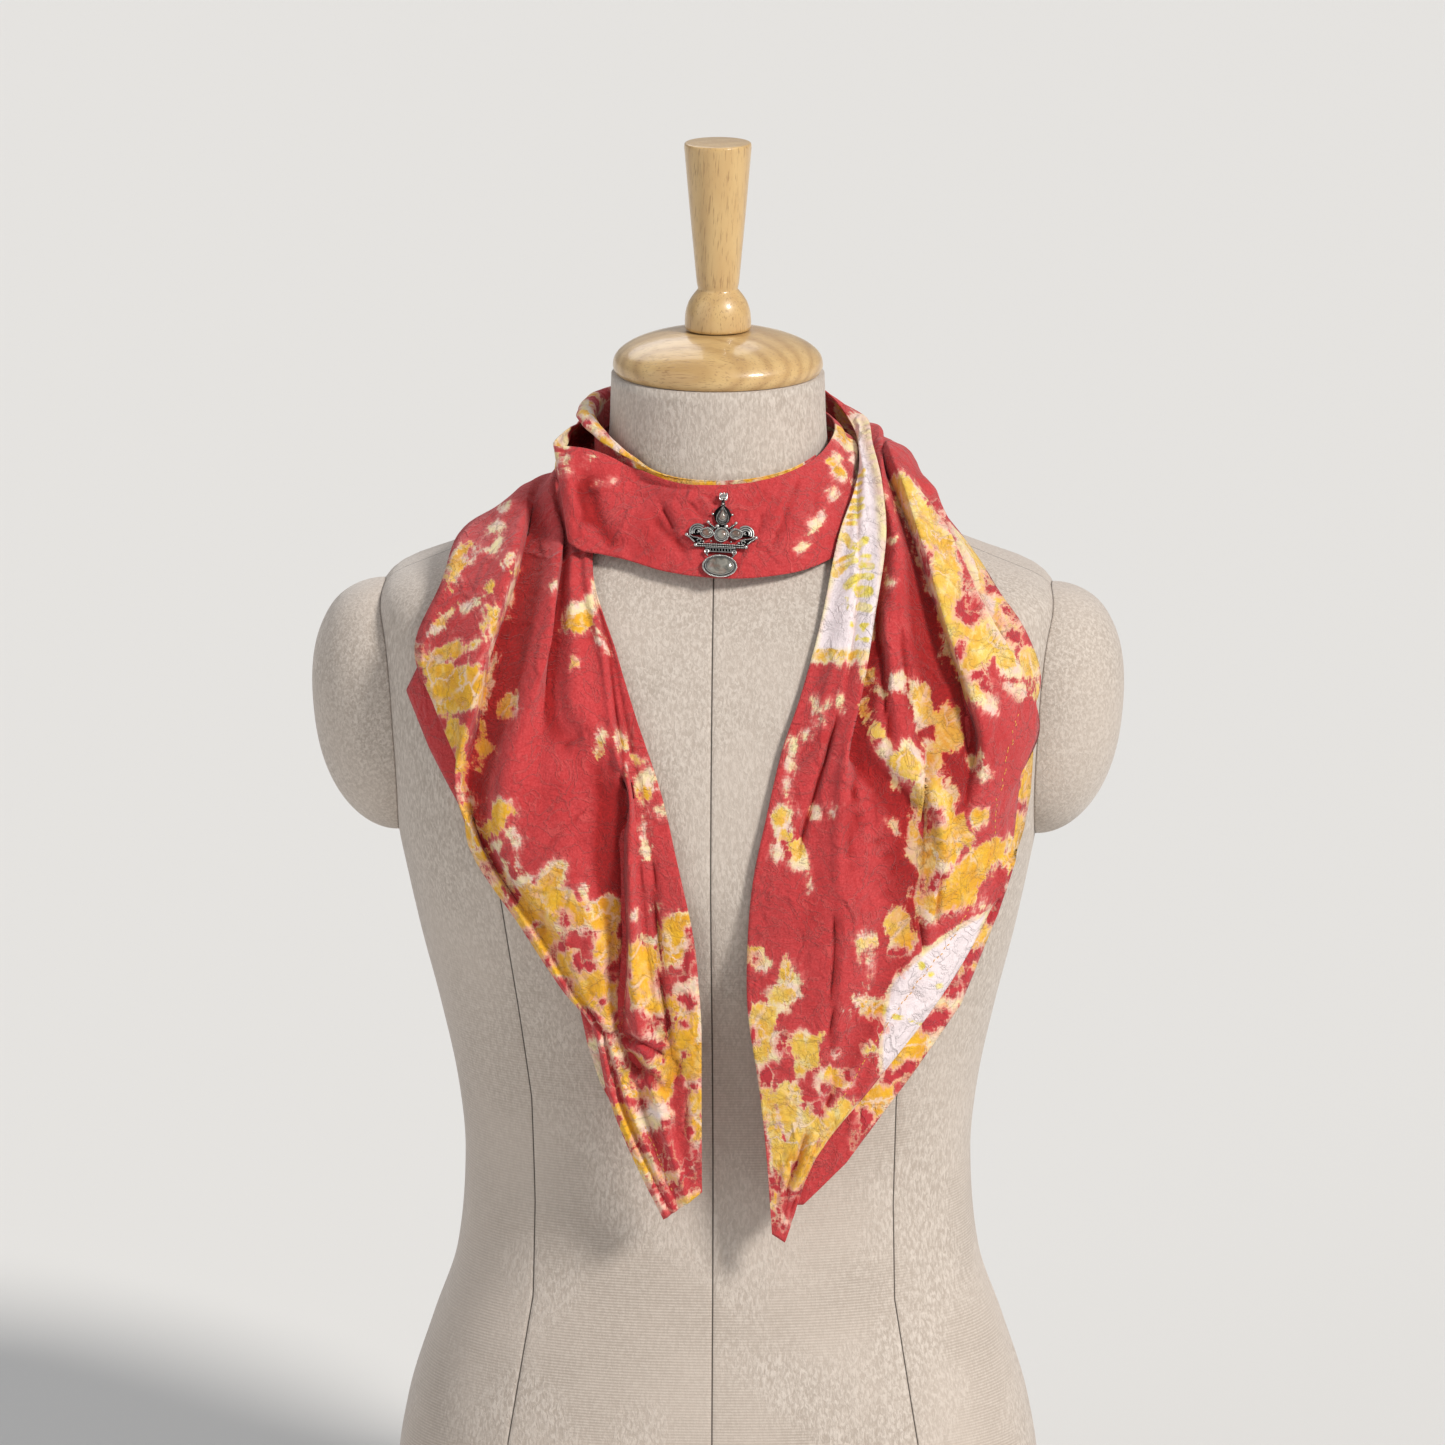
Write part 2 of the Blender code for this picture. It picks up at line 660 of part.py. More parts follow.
def inner_fold_rows():
    sections = []
    for row in INNER_FOLD:
        outline = []
        for c in range(FOLD_COLUMNS):
            t = c / (FOLD_COLUMNS - 1)
            radius = row.foot_radius + (row.top_radius - row.foot_radius) * t
            outline.append((radius, row.foot_height + (row.top_height - row.foot_height) * t))
        for c in range(1, ROLL_COLUMNS + 1):
            turn = ROLL_TURN * c / ROLL_COLUMNS
            size = row.roll + 0.15
            outline.append(
                (
                    row.top_radius + size * (1 - math.cos(turn)),
                    row.top_height + size * math.sin(turn),
                )
            )
        angle = math.radians(row.angle)
        s, c = math.sin(angle), math.cos(angle)
        sections.append([Vector((radius * s, -radius * c, z)) for radius, z in outline])
    count = (len(sections) - 1) * ROWS_BETWEEN + 1
    return [
        [spline([s[c] for s in sections], k / ROWS_BETWEEN) for c in range(len(sections[0]))]
        for k in range(count)
    ]


# The brooch: oxidised silver settings soldered side by side, with glass stones. It is
# drawn flat, across and up from its round middle stone, then bent a little and seated


class Setting(NamedTuple):
    """A cup for one stone: the shape of its outline, its middle and half sizes."""

    name: str
    shape: str
    across: float
    up: float
    half_width: float
    half_height: float
    turn: float
    rise: float


SETTINGS = [
    Setting("centre", "round", 0, 0, 3.85, 3.85, 0, 1.1),
    Setting("leaf_left", "leaf", -7.95, 0.8, 3.7, 2.8, -8, 0.9),
    Setting("leaf_right", "leaf", 7.95, 0.8, 3.7, 2.8, 8, 0.9),
    Setting("drop", "drop", 0, 10.8, 4.6, 5.0, 0, 0.7),
    Setting("oval", "round", 0, -17.3, 10, 6.7, 0, 1.7),
]
RIM_WIDTH = 1.1
RIM_HEIGHT = 2.3
CUP_FLOOR = 0.9
CUP_SIDES = 16
OVAL_SIDES = 24
SOLDER = 0.15  # between pieces of the brooch that are soldered together
STONE_RINGS = 3

# Flat outlines of the pieces that join the settings, for the right-hand side
BAR = [(13.9, -6.0), (13.2, -7.1), (-13.2, -7.1), (-13.9, -6.0), (-13.2, -4.9), (13.2, -4.9)]
RAIL = [(5.85, -9.6), (-5.85, -9.6), (-5.85, -7.25), (5.85, -7.25)]
YOKE = [(3.4, 4.0), (3.6, 5.0), (2.4, 5.65), (-2.4, 5.65), (-3.6, 5.0), (-3.4, 4.0)]
NECK = [(1.4, 15.95), (0.8, 18.6), (-0.8, 18.6), (-1.4, 15.95)]
ARM = [
    (19.9, -0.5), (19.3, 0.5), (18.4, 0.4), (17.7, -0.8), (12.6, -1.7), (10.4, -2.9),
    (9.2, -4.75), (13.0, -4.75), (15.8, -3.0), (19.2, -1.5),
]
PLATE = 1.5
PLATE_STEP = 4
RING_SIDES = 14


class Ring(NamedTuple):
    across: float
    up: float
    half_width: float
    half_height: float
    thickness: float


LEG = Ring(7.5, -10.0, 1.45, 2.75, 1.5)
BAIL = Ring(0, 21.1, 2.2, 2.4, 2.2)

FAN_CENTRE = (13.0, 1.2)
FAN_SPAN = (-20, 120)  # degrees from straight out towards straight up
FAN_STEPS = 9
FAN_PROFILE = [  # distance from the fan's centre, height
    (1.0, 0), (4.5, 0), (4.5, 1.3), (3.95, 2.0), (3.35, 1.2), (2.8, 2.0), (2.2, 1.2),
    (1.7, 2.0), (1.0, 1.3),
]
BROOCH_ACROSS = 4.3  # of the middle stone, on the front of the band
BROOCH_HEIGHT = 625.9
BROOCH_LEAN = math.radians(-2.5)
BROOCH_BEND = 120  # radius that the flat brooch is bent to, round an upright axis
BROOCH_REACH = (19, 23)  # from the middle stone, across and up, over the cloth


def outline_of(shape, half_width, half_height, count):
    """A closed outline about its own middle, anticlockwise."""
    points = []
    for k in range(count):
        turn = 2 * math.pi * k / count
        c, s = math.cos(turn), math.sin(turn)
        if shape == "round":
            points.append((half_width * c, half_height * s))
        elif shape == "leaf":
            points.append((half_width * c, half_height * s * abs(s) ** 0.35))
        else:
            narrowing = math.sin(turn / 2) ** 1.2
            points.append((-half_width * s * narrowing, half_height * c))
    return points


def moved(points, across, up, turn=0.0):
    """An outline turned about its own middle and carried to its place."""
    c, s = math.cos(math.radians(turn)), math.sin(math.radians(turn))
    return [(across + u * c - v * s, up + u * s + v * c) for u, v in points]


def lofted(levels, open_middle=False):
    """A closed solid through outlines of one length, each with its height."""
    bm = bmesh.new()
    rings = [[bm.verts.new((u, v, w)) for u, v in outline] for outline, w in levels]
    pairs = list(zip(rings, rings[1:]))
    if open_middle:
        pairs.append((rings[-1], rings[0]))
    else:
        bm.faces.new(rings[0])
        bm.faces.new(rings[-1])
    for lower, upper in pairs:
        count = len(lower)
        for k in range(count):
            n = (k + 1) % count
            bm.faces.new((lower[k], lower[n], upper[n], upper[k]))
    return bm


def plate_of(corners):
    """A flat piece, with points enough along its edges to follow the bend."""
    points = []
    for (u, v), (next_u, next_v) in zip(corners, corners[1:] + corners[:1]):
        steps = max(1, round(math.hypot(next_u - u, next_v - v) / PLATE_STEP))
        points += [
            (u + (next_u - u) * k / steps, v + (next_v - v) * k / steps) for k in range(steps)
        ]
    return lofted([(points, 0.0), (points, PLATE)])


def ring_of(ring, side=1):
    """A flat ring, half as wide inside as out."""
    sizes = (ring.half_width, ring.half_height)
    across = side * ring.across
    outer = moved(outline_of("round", *sizes, RING_SIDES), across, ring.up)
    inner = outline_of("round", *(size / 2 for size in sizes), RING_SIDES)
    inner = moved(inner, across, ring.up)
    top = ring.thickness
    return lofted([(outer, 0), (outer, top), (inner, top), (inner, 0)], open_middle=True)


def cup_of(item, count):
    """The setting: a floor inside a raised rim."""
    sizes = (item.half_width, item.half_height)
    outer = outline_of(item.shape, *sizes, count)
    inner = outline_of(item.shape, *(size - RIM_WIDTH for size in sizes), count)
    outer = moved(outer, item.across, item.up, item.turn)
    inner = moved(inner, item.across, item.up, item.turn)
    return lofted([(outer, 0), (outer, RIM_HEIGHT), (inner, RIM_HEIGHT), (inner, CUP_FLOOR)])


def stone_of(item, count):
    """The cabochon: straight-sided in its cup, domed above the rim."""
    inset = RIM_WIDTH + SOLDER
    sizes = (item.half_width - inset, item.half_height - inset)
    foot = CUP_FLOOR + SOLDER
    levels = [(1.0, foot), (1.0, RIM_HEIGHT)]
    for k in range(1, STONE_RINGS + 1):
        turn = math.pi / 2 * k / (STONE_RINGS + 1)
        levels.append((math.cos(turn), RIM_HEIGHT + item.rise * math.sin(turn)))
    rings = []
    for scale, height in levels:
        points = outline_of(item.shape, *(size * scale for size in sizes), count)
        rings.append((moved(points, item.across, item.up, item.turn), height))
    return lofted(rings)


def fan_of(side):
    """Three nested wire scrolls, as one ridged piece turned about their centre."""
    bm = bmesh.new()
    first, last = (math.radians(angle) for angle in FAN_SPAN)
    across, up = FAN_CENTRE
    c, s = math.cos(first), math.sin(first)
    profile = [
        bm.verts.new((side * (across + r * c), up + r * s, height)) for r, height in FAN_PROFILE
    ]
    face = bm.faces.new(profile)
    bmesh.ops.spin(
        bm,
        geom=[face],
        axis=(0, 0, 1),
        cent=(side * across, up, 0),
        angle=side * (last - first),
        steps=FAN_STEPS,
    )
    return bm


def brooch_seat(band):
    """The frame of the flat brooch, just clear of the front of the band."""
    reach_across, reach_up = BROOCH_REACH

    def on_band(across, height):
        start = Vector((across, -2 * NECK_TOP, height))
        return band.ray_cast(start, Vector((0, 1, 0)))[0]

    up = on_band(BROOCH_ACROSS, BROOCH_HEIGHT + reach_up / 2)
    up = (up - on_band(BROOCH_ACROSS, BROOCH_HEIGHT - reach_up / 2)).normalized()
    out = Vector((1, 0, 0)).cross(up)
    lean = Matrix.Rotation(BROOCH_LEAN, 3, out)
    across, up = lean @ Vector((1, 0, 0)), lean @ up
    middle = on_band(BROOCH_ACROSS, BROOCH_HEIGHT)
    proud = 0.0
    for u in range(-reach_across, reach_across + 1, 2):
        for v in range(-reach_up, reach_up + 1, 2):
            spot = middle + across * u + up * v
            hit = band.ray_cast(spot + out * SEARCH, -out, 2 * SEARCH)[0]
            if hit is not None:
                proud = max(proud, (hit - middle).dot(out) + u * u / (2 * BROOCH_BEND))
    middle = middle + out * (proud + GAP)
    return Matrix.Translation(middle) @ Matrix((across, up, out)).transposed().to_4x4()


def make_brooch(band, silver, stone):
    seat = brooch_seat(band)

    def seated(name, bm, finish):
        for vertex in bm.verts:
            vertex.co.z -= vertex.co.x**2 / (2 * BROOCH_BEND)
        place("brooch_" + name, bm, finish, 30.0, seat)

    for item in SETTINGS:
        count = OVAL_SIDES if item.name == "oval" else CUP_SIDES
        seated("setting_" + item.name, cup_of(item, count), silver)
        seated("stone_" + item.name, stone_of(item, count), stone)
    for name, outline in (("bar", BAR), ("rail", RAIL), ("yoke", YOKE), ("neck", NECK)):
        seated(name, plate_of(outline), silver)
    for name, side in (("left", -1), ("right", 1)):
        seated("arm_" + name, plate_of([(side * u, v) for u, v in ARM]), silver)
        seated("fan_" + name, fan_of(side), silver)
        seated("leg_" + name, ring_of(LEG, side), silver)
    seated("bail", ring_of(BAIL), silver)


def main():
    for stale in list(bpy.data.objects):
        bpy.data.objects.remove(stale)
    form_cloth = material("form_cloth", FORM_CLOTH, 0.9)
    wood = material("varnished_wood", PALE_WOOD, 0.35)
    coral = material("dyed_cotton", CORAL, 0.85)
    gold = material("dyed_cotton_gold", GOLD, 0.85)
    silver = material("dark_silver", DARK_SILVER, 0.35, 1.0)
    stone = material("grey_stone", GREY_STONE, 0.12)

    body = surface_of(make_form(form_cloth))
    pad_left = surface_of(make_shoulder("form_shoulder_left", -1, form_cloth))
    pad_right = surface_of(make_shoulder("form_shoulder_right", 1, form_cloth))
    make_turned("neck_cap", CAP_PROFILE, NECK_TOP, wood)
    make_turned("neck_handle", HANDLE_PROFILE, NECK_TOP + HANDLE_FOOT, wood)

    rows = laid_on(under_rows(LEFT_UNDER), [body, pad_left])
    under_left = surface_of(make_cloth("scarf_under_left", rows, coral))
    rows = laid_on(under_rows(RIGHT_UNDER), [body, pad_right])
    under_right = surface_of(make_cloth("scarf_under_right", rows, gold))
    rows = laid_on(stretch_rows(0, TAIL_STEPS), [body, pad_left, under_left])
    tail_left = surface_of(make_cloth("scarf_tail_left", rows, coral))
    rows = laid_on(stretch_rows(1, NECK_STEPS), [body])
    nape_inner = surface_of(make_cloth("scarf_nape_inner", rows, coral))
    inner_fold = surface_of(make_cloth("scarf_inner_fold", inner_fold_rows(), gold, FOLD_WALL))
    rows = laid_on(stretch_rows(2, NECK_STEPS), [body, tail_left, inner_fold])
    band = surface_of(make_cloth("scarf_band", rows, coral))
    rows = laid_on(stretch_rows(3, NECK_STEPS), [body, tail_left, nape_inner, inner_fold])
    make_cloth("scarf_nape_outer", rows, coral)
    rows = laid_on(stretch_rows(4, TAIL_STEPS), [body, pad_right, under_right, nape_inner, band])
    make_cloth("scarf_tail_right", rows, coral)

    make_brooch(band, silver, stone)


main()
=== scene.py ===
import math

import bmesh
import bpy
import numpy as np
from mathutils import Matrix, Vector
from mathutils.bvhtree import BVHTree


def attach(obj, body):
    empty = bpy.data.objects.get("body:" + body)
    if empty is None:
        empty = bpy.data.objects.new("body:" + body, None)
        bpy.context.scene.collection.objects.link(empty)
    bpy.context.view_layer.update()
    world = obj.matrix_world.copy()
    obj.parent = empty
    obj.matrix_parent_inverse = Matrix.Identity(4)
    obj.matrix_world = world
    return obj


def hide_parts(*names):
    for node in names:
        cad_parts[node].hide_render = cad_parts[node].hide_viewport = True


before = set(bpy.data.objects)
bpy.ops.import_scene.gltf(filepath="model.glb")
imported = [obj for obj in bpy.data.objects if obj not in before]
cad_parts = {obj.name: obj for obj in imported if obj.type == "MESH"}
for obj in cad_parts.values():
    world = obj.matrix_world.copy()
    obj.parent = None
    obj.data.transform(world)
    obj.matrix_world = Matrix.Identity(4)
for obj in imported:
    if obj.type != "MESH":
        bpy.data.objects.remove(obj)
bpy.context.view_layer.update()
MM = 0.001

# The view: a long lens from slightly above and a little to the right of the middle,
# which is how the dress form was photographed.
def placed(name, data):
    """An object for a mesh, a lens or a light, put into the scene."""
    made = bpy.data.objects.new(name, data)
    bpy.context.scene.collection.objects.link(made)
    return made


view_turn, view_rise = math.radians(1.7), math.radians(13)
view_level = math.cos(view_rise)
view_back = Vector((math.sin(view_turn) * view_level, -math.cos(view_turn) * view_level, math.sin(view_rise)))
view_across = Vector((math.cos(view_turn), math.sin(view_turn), 0))
view_up = view_back.cross(view_across)
view_target, view_distance, view_breadth = Vector((2.5, 0, 504)), 6000, 0.55 * 1445
view_place = view_target + view_back * view_distance
lens = bpy.data.cameras.new("camera")
lens.sensor_width, lens.clip_end = 36, 100
lens.lens = lens.sensor_width * view_distance / view_breadth
camera = placed("camera", lens)
view_axes = Matrix((view_across, view_up, view_back)).transposed().to_4x4()
camera.matrix_world = Matrix.Translation(view_place * MM) @ view_axes
bpy.context.scene.camera = camera
bpy.context.scene.view_settings.view_transform = "Standard"


def as_seen(points):
    """Across and up, in mm, where points lie in the front view, at the form's middle depth."""
    away = points - np.array(view_place)
    depth = -(away @ np.array(view_back)) / view_distance
    across = view_target.x + away @ np.array(view_across) / depth
    up = view_target.z + away @ np.array(view_up) / depth / view_level
    return np.stack([across, up], axis=-1)


# The dress form's body and neck: a firm moulded shell under a stretch velour cover sewn
# from eight panels, with a fine sunk seam down each side of every panel.
form_levels = np.array([  # height, half width, front, back, squareness
    (0, 172, 112, 112, 2.3), (70, 179, 118, 121, 2.3), (120, 172.5, 113, 116, 2.3),
    (165, 158.5, 105, 105, 2.3), (205, 145, 97, 93, 2.3), (262, 140, 92, 83, 2.3),
    (305, 144, 95, 82, 2.3), (350, 153.5, 105, 86, 2.3), (390, 163.5, 119, 93, 2.3),
    (430, 172, 130, 100, 2.4), (450, 175.5, 131, 102, 2.6), (490, 180, 125, 106, 2.9),
    (530, 183.5, 113, 108, 3.1), (560, 185.5, 101, 105, 3.1), (578, 185, 92, 100, 3.0),
    (588, 177, 86, 96, 2.8), (597, 156, 81, 91, 2.5), (606, 134, 76.5, 86, 2.3),
    (616, 111, 72.5, 79, 2.15), (626, 90, 68.5, 73, 2.05), (636, 73, 65, 68, 2.0),
    (648, 63, 61.2, 62.6, 2.0), (664, 59.8, 59.8, 59.8, 2.0), (700, 58.2, 58.2, 58.2, 2.0),
])
neck_top, foot_round = 700, 5
princess_seam = np.array([  # height, distance from the middle of the front
    (0, 116), (118, 113), (198, 99.5), (250, 98.5), (310, 100), (368, 107), (429, 115), (500, 112),
    (560, 98), (590, 84), (612, 66), (636, 46), (700, 38),
])
seam_depth, seam_ends = 0.55, (610, 636)
panel_steps = [0.8, 2.2]  # columns close beside a seam
panel_columns, panel_margin = 30, 3.6


def form_section(height):
    """Half width, front, back and squareness of the form at each height."""
    z = form_levels[:, 0]
    height = np.clip(np.asarray(height, float), 0, neck_top)
    i = np.clip(np.searchsorted(z, height, side="right") - 1, 0, len(z) - 2)
    wide = np.vstack([form_levels[:1], form_levels, form_levels[-1:]])
    slope = (wide[2:] - wide[:-2]) / (wide[2:, :1] - wide[:-2, :1])
    span = (z[i + 1] - z[i])[..., None]
    t = (height[..., None] - z[i][..., None]) / span
    low, high = form_levels[i], form_levels[i + 1]
    return (
        (2 * t**3 - 3 * t**2 + 1) * low
        + (t**3 - 2 * t**2 + t) * span * slope[i]
        + (3 * t**2 - 2 * t**3) * high
        + (t**3 - t**2) * span * slope[i + 1]
    )[..., 1:]


def form_front(x, height):
    """How far forward the form's skin lies at a place seen from the front."""
    section = form_section(height)
    share = np.minimum(np.abs(x) / section[..., 0], 1)
    return -section[..., 1] * (1 - share ** section[..., 3]) ** (1 / section[..., 3])


def form_side(y, height):
    """The half width of the form at a depth and a height."""
    section = form_section(height)
    share = np.minimum(np.abs(y) / np.where(y > 0, section[..., 2], section[..., 1]), 1)
    return section[..., 0] * (1 - share ** section[..., 3]) ** (1 / section[..., 3])


def mesh_of(name, bm):
    """A mesh with what a bmesh holds."""
    mesh = bpy.data.meshes.new(name)
    bm.to_mesh(mesh)
    bm.free()
    return mesh


def grid_piece(name, points, marks, wrapped=False, thickness=None, thread=None):
    """A create_grid sheet with its vertices carried to rows of points in mm, as an object."""
    rows, columns = points.shape[:2]
    bm = bmesh.new()
    bmesh.ops.create_grid(bm, x_segments=columns - 1, y_segments=rows - 1, size=1)
    mesh = mesh_of(name, bm)
    mesh.vertices.foreach_set("co", (points.reshape(-1, 3) * MM).ravel())
    for mark, values in marks.items():
        layer = mesh.attributes.new(mark, "FLOAT", "POINT")
        layer.data.foreach_set("value", np.ravel(values).astype(np.float32))
    if thread is not None:
        corner = np.empty(len(mesh.loops), dtype=np.int32)
        mesh.loops.foreach_get("vertex_index", corner)
        layer = mesh.uv_layers.new(name="thread")
        layer.data.foreach_set("uv", thread.reshape(-1, 2)[corner].ravel())
    bm = bmesh.new()
    bm.from_mesh(mesh)
    if wrapped:
        bmesh.ops.remove_doubles(bm, verts=bm.verts, dist=1e-5)
        bmesh.ops.holes_fill(bm, edges=bm.edges)
        bmesh.ops.recalc_face_normals(bm, faces=bm.faces)
    bm.to_mesh(mesh)
    bm.free()
    mesh.shade_smooth()
    piece = placed(name, mesh)
    if thickness:
        wall = piece.modifiers.new("cloth", "SOLIDIFY")
        wall.thickness, wall.offset = thickness * MM, 0
    return piece


def form_rows():
    """Rows of points round the form with columns gathered at the seams, and the seam marks."""
    heights = np.concatenate([[0, 0.6, 1.6, 3, 5, 8], np.arange(11, 697, 3.05), [neck_top]])
    around = np.linspace(-math.pi / 2, 1.5 * math.pi, 1441)
    rows, marks = [], []
    for height in heights:
        half, front, back, power = form_section(height)
        rise = max(foot_round - height, 0)
        shrink = foot_round - math.sqrt(foot_round**2 - rise**2)
        c, s = np.cos(around), np.sin(around)
        x = np.sign(c) * np.abs(c) ** (2 / power) * (half - shrink)
        y = np.sign(s) * np.abs(s) ** (2 / power) * (np.where(s > 0, back, front) - shrink)
        run = np.concatenate([[0], np.cumsum(np.hypot(np.diff(x), np.diff(y)))])
        seam_x = min(np.interp(height, *princess_seam.T), half * 0.9)
        turn = math.acos((seam_x / half) ** (power / 2))
        seams = [-math.pi / 2, -turn, 0, turn, math.pi / 2]
        seams += [math.pi - turn, math.pi, math.pi + turn, 1.5 * math.pi]
        stops = np.interp(seams, around, run)
        spots, depth = [], []
        for a, b in zip(stops, stops[1:]):
            inner = np.linspace(a + panel_margin, b - panel_margin, panel_columns)
            near, far = panel_steps
            spots += [a, a + near, a + far, *inner, b - far, b - near]
            depth += [1, 0.35, 0.05] + [0] * panel_columns + [0.05, 0.35]
        spots.append(stops[-1])
        depth.append(1)
        px, py = np.interp(spots, run, x), np.interp(spots, run, y)
        nx = np.interp(spots, run, np.gradient(y, run))
        ny = -np.interp(spots, run, np.gradient(x, run))
        fade = np.clip((seam_ends[1] - height) / (seam_ends[1] - seam_ends[0]), 0, 1)
        depth = np.array(depth) * fade
        px, py = px - nx * depth * seam_depth, py - ny * depth * seam_depth
        rows.append(np.stack([px, py, np.full_like(px, height)], axis=-1))
        marks.append(depth)
    return np.array(rows), np.array(marks)


form_points, form_seams = form_rows()
form_body = grid_piece("dress_form_body", form_points, wrapped=True, marks={"seam": form_seams})


class Wire:
    """A shader socket that takes part in sums; without one it is the sheet to add nodes to."""

    def __init__(self, tree, socket=None):
        self.tree, self.socket = tree, socket

    def node(self, kind, settings=None, sockets=None, out=0):
        made = self.tree.nodes.new("ShaderNode" + kind)
        for name, value in (settings or {}).items():
            setattr(made, name, value)
        for name, value in (sockets or {}).items():
            if isinstance(value, Wire):
                self.tree.links.new(value.socket, made.inputs[name])
            else:
                coloured = made.inputs[name].type == "RGBA" and np.size(value) == 3
                made.inputs[name].default_value = (*value, 1) if coloured else value
        return Wire(self.tree, made.outputs[out])

    def into(self, shader, name):
        """Joins this to one of the shader's sockets."""
        self.tree.links.new(self.socket, shader.inputs[name])

    def maths(self, operation, *others):
        return self.node("Math", {"operation": operation}, dict(enumerate((self, *others))))

    def __add__(self, other):
        return self.maths("ADD", other)

    def __mul__(self, other):
        return self.maths("MULTIPLY", other)

    def __sub__(self, other):
        return self.maths("SUBTRACT", other)

    def __rsub__(self, other):
        return self * -1 + other

    __radd__ = __add__
    __rmul__ = __mul__

    def most(self, other):
        return self.maths("MAXIMUM", other)

    def step(self, low, high):
        """0 below low and 1 above high, smooth between."""
        sockets = {"Value": self, "From Min": low, "From Max": high}
        return self.node("MapRange", {"interpolation_type": "SMOOTHSTEP"}, sockets)

    def tint(self, low, high):
        """The colour low where this is 0, and high where it is 1."""
        return self.node("Mix", {"data_type": "RGBA"}, {0: self, 6: low, 7: high}, 2)

    def darkened(self, other, share=1.0):
        """This colour multiplied by another, for a share."""
        settings = {"data_type": "RGBA", "blend_type": "MULTIPLY"}
        return self.node("Mix", settings, {0: share, 6: self, 7: other}, 2)

    def grow(self, scale):
        return self.node("VectorMath", {"operation": "MULTIPLY"}, {0: self, 1: scale})

    def moved(self, other):
        return self.node("VectorMath", {"operation": "ADD"}, {0: self, 1: other})

    def noise(self, scale, detail, rough=0.6, distortion=0.0):
        """Cloudy noise, read at this place."""
        sockets = {"Vector": self, "Scale": scale, "Detail": detail}
        sockets.update({"Roughness": rough, "Distortion": distortion})
        return self.node("TexNoise", None, sockets)

    def bump(self, distance, normal=None, strength=1.0):
        sockets = {"Height": self, "Distance": distance * MM, "Strength": strength}
        if normal is not None:
            sockets["Normal"] = normal
        return self.node("Bump", None, sockets)


def srgb(red, green, blue):
    """A colour as a screen shows it, made linear."""
    return tuple(((c / 255 + 0.055) / 1.055) ** 2.4 for c in (red, green, blue))


def finish_of(name, constants):
    """A material with its unchanging values set on the shader, and a sheet to draw on."""
    made = bpy.data.materials.new(name)
    made.use_nodes = True
    shader = made.node_tree.nodes["Principled BSDF"]
    for socket, value in constants.items():
        shader.inputs[socket].default_value = (*value, 1) if np.size(value) == 3 else value
    return made, Wire(made.node_tree), shader


def velour(name, grain_scale, grain_length, rib_share):
    """Beige-grey stretch velour: mottled pile, with fine knitted ribs where it is pulled tight."""
    made, sheet, shader = finish_of(
        name, {"Sheen Weight": 0.25, "Sheen Roughness": 0.5, "Specular IOR Level": 0.25}
    )
    place = sheet.node("TexCoord", out="Object")
    seam = sheet.node("Attribute", {"attribute_name": "seam"}, out="Fac")
    grain = place.grow((1, 1, grain_length)).noise(grain_scale, 3, 0.6, 0.6)
    fine = place.grow((1, 1, 2.2)).noise(1500, 3, 0.7)
    broad = place.noise(14, 3, 0.5)
    ribs = sheet.node(
        "TexWave", {"bands_direction": "Z", "wave_profile": "SIN"},
        {"Vector": place, "Scale": 200, "Distortion": 0.8, "Detail": 2, "Detail Scale": 4},
    )
    low = sheet.node("SeparateXYZ", None, {"Vector": place}, 2).step(0.5, 0.2)
    where = place.noise(11, 2, 0.5).step(0.66 - rib_share, 0.78 - rib_share) * low
    height = grain.step(0.3, 0.7) * 0.55 + fine * 0.4
    pile = height * (1 - where * 0.6) + ribs * where * 0.35
    bump = pile.bump(0.4, strength=0.7)
    colour = pile.step(0.1, 1.0).tint(srgb(172, 159, 147), srgb(214, 203, 192))
    colour = (broad.step(0.35, 0.7) * 0.5).tint(colour, srgb(200, 187, 175))
    colour = seam.step(0.45, 0.9).tint(colour, srgb(72, 64, 58))
    colour.into(shader, "Base Color")
    bump.into(shader, "Normal")
    (pile * -0.15 + 0.95).into(shader, "Roughness")
    return made


body_cover = velour("body_velour", 640, 0.42, 0.22)
form_body.data.materials.append(body_cover)
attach(form_body, "root")
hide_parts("form_body")

# The padded shoulder caps: foam domes under the same velour, gathered a little and sewn
# into the armholes, so the cover crinkles more coarsely there.
cap_top, cap_foot, cap_half_depth = 583, 445, 56
cap_bulge, cap_rim, cap_seam, cap_power = 40, 1.0, 0.15, 2.35
pad_cover = velour("shoulder_velour", 620, 0.8, -0.1)


def shoulder_pad(name, side):
    around = np.linspace(0, 2 * math.pi, 145)
    shares = np.sin(np.linspace(0, math.pi / 2, 40))
    rows, marks = [], []
    for domed, share in [(0, s) for s in shares] + [(1, s) for s in shares[::-1]]:
        half = (cap_top - cap_foot) / 2
        c, s = np.cos(around), np.sin(around)
        y = np.sign(c) * np.abs(c) ** (2 / cap_power) * cap_half_depth * share
        height = (cap_top + cap_foot) / 2 + np.sign(s) * np.abs(s) ** (2 / cap_power) * half * share
        out = form_side(y, height) + cap_seam
        if domed:
            out += cap_rim + (cap_bulge - cap_rim) * math.sqrt(max(0, 1 - share**cap_power))
        rows.append(np.stack([side * out, y, height], axis=-1))
        marks.append(np.zeros_like(y))
    return grid_piece(name, np.array(rows), wrapped=True, marks={"seam": np.array(marks)})


pads = {}
for word, side in (("left", -1), ("right", 1)):
    pads[word] = shoulder_pad("dress_form_shoulder_" + word, side)
    pads[word].data.materials.append(pad_cover)
    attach(pads[word], "root")
    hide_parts("form_shoulder_" + word)

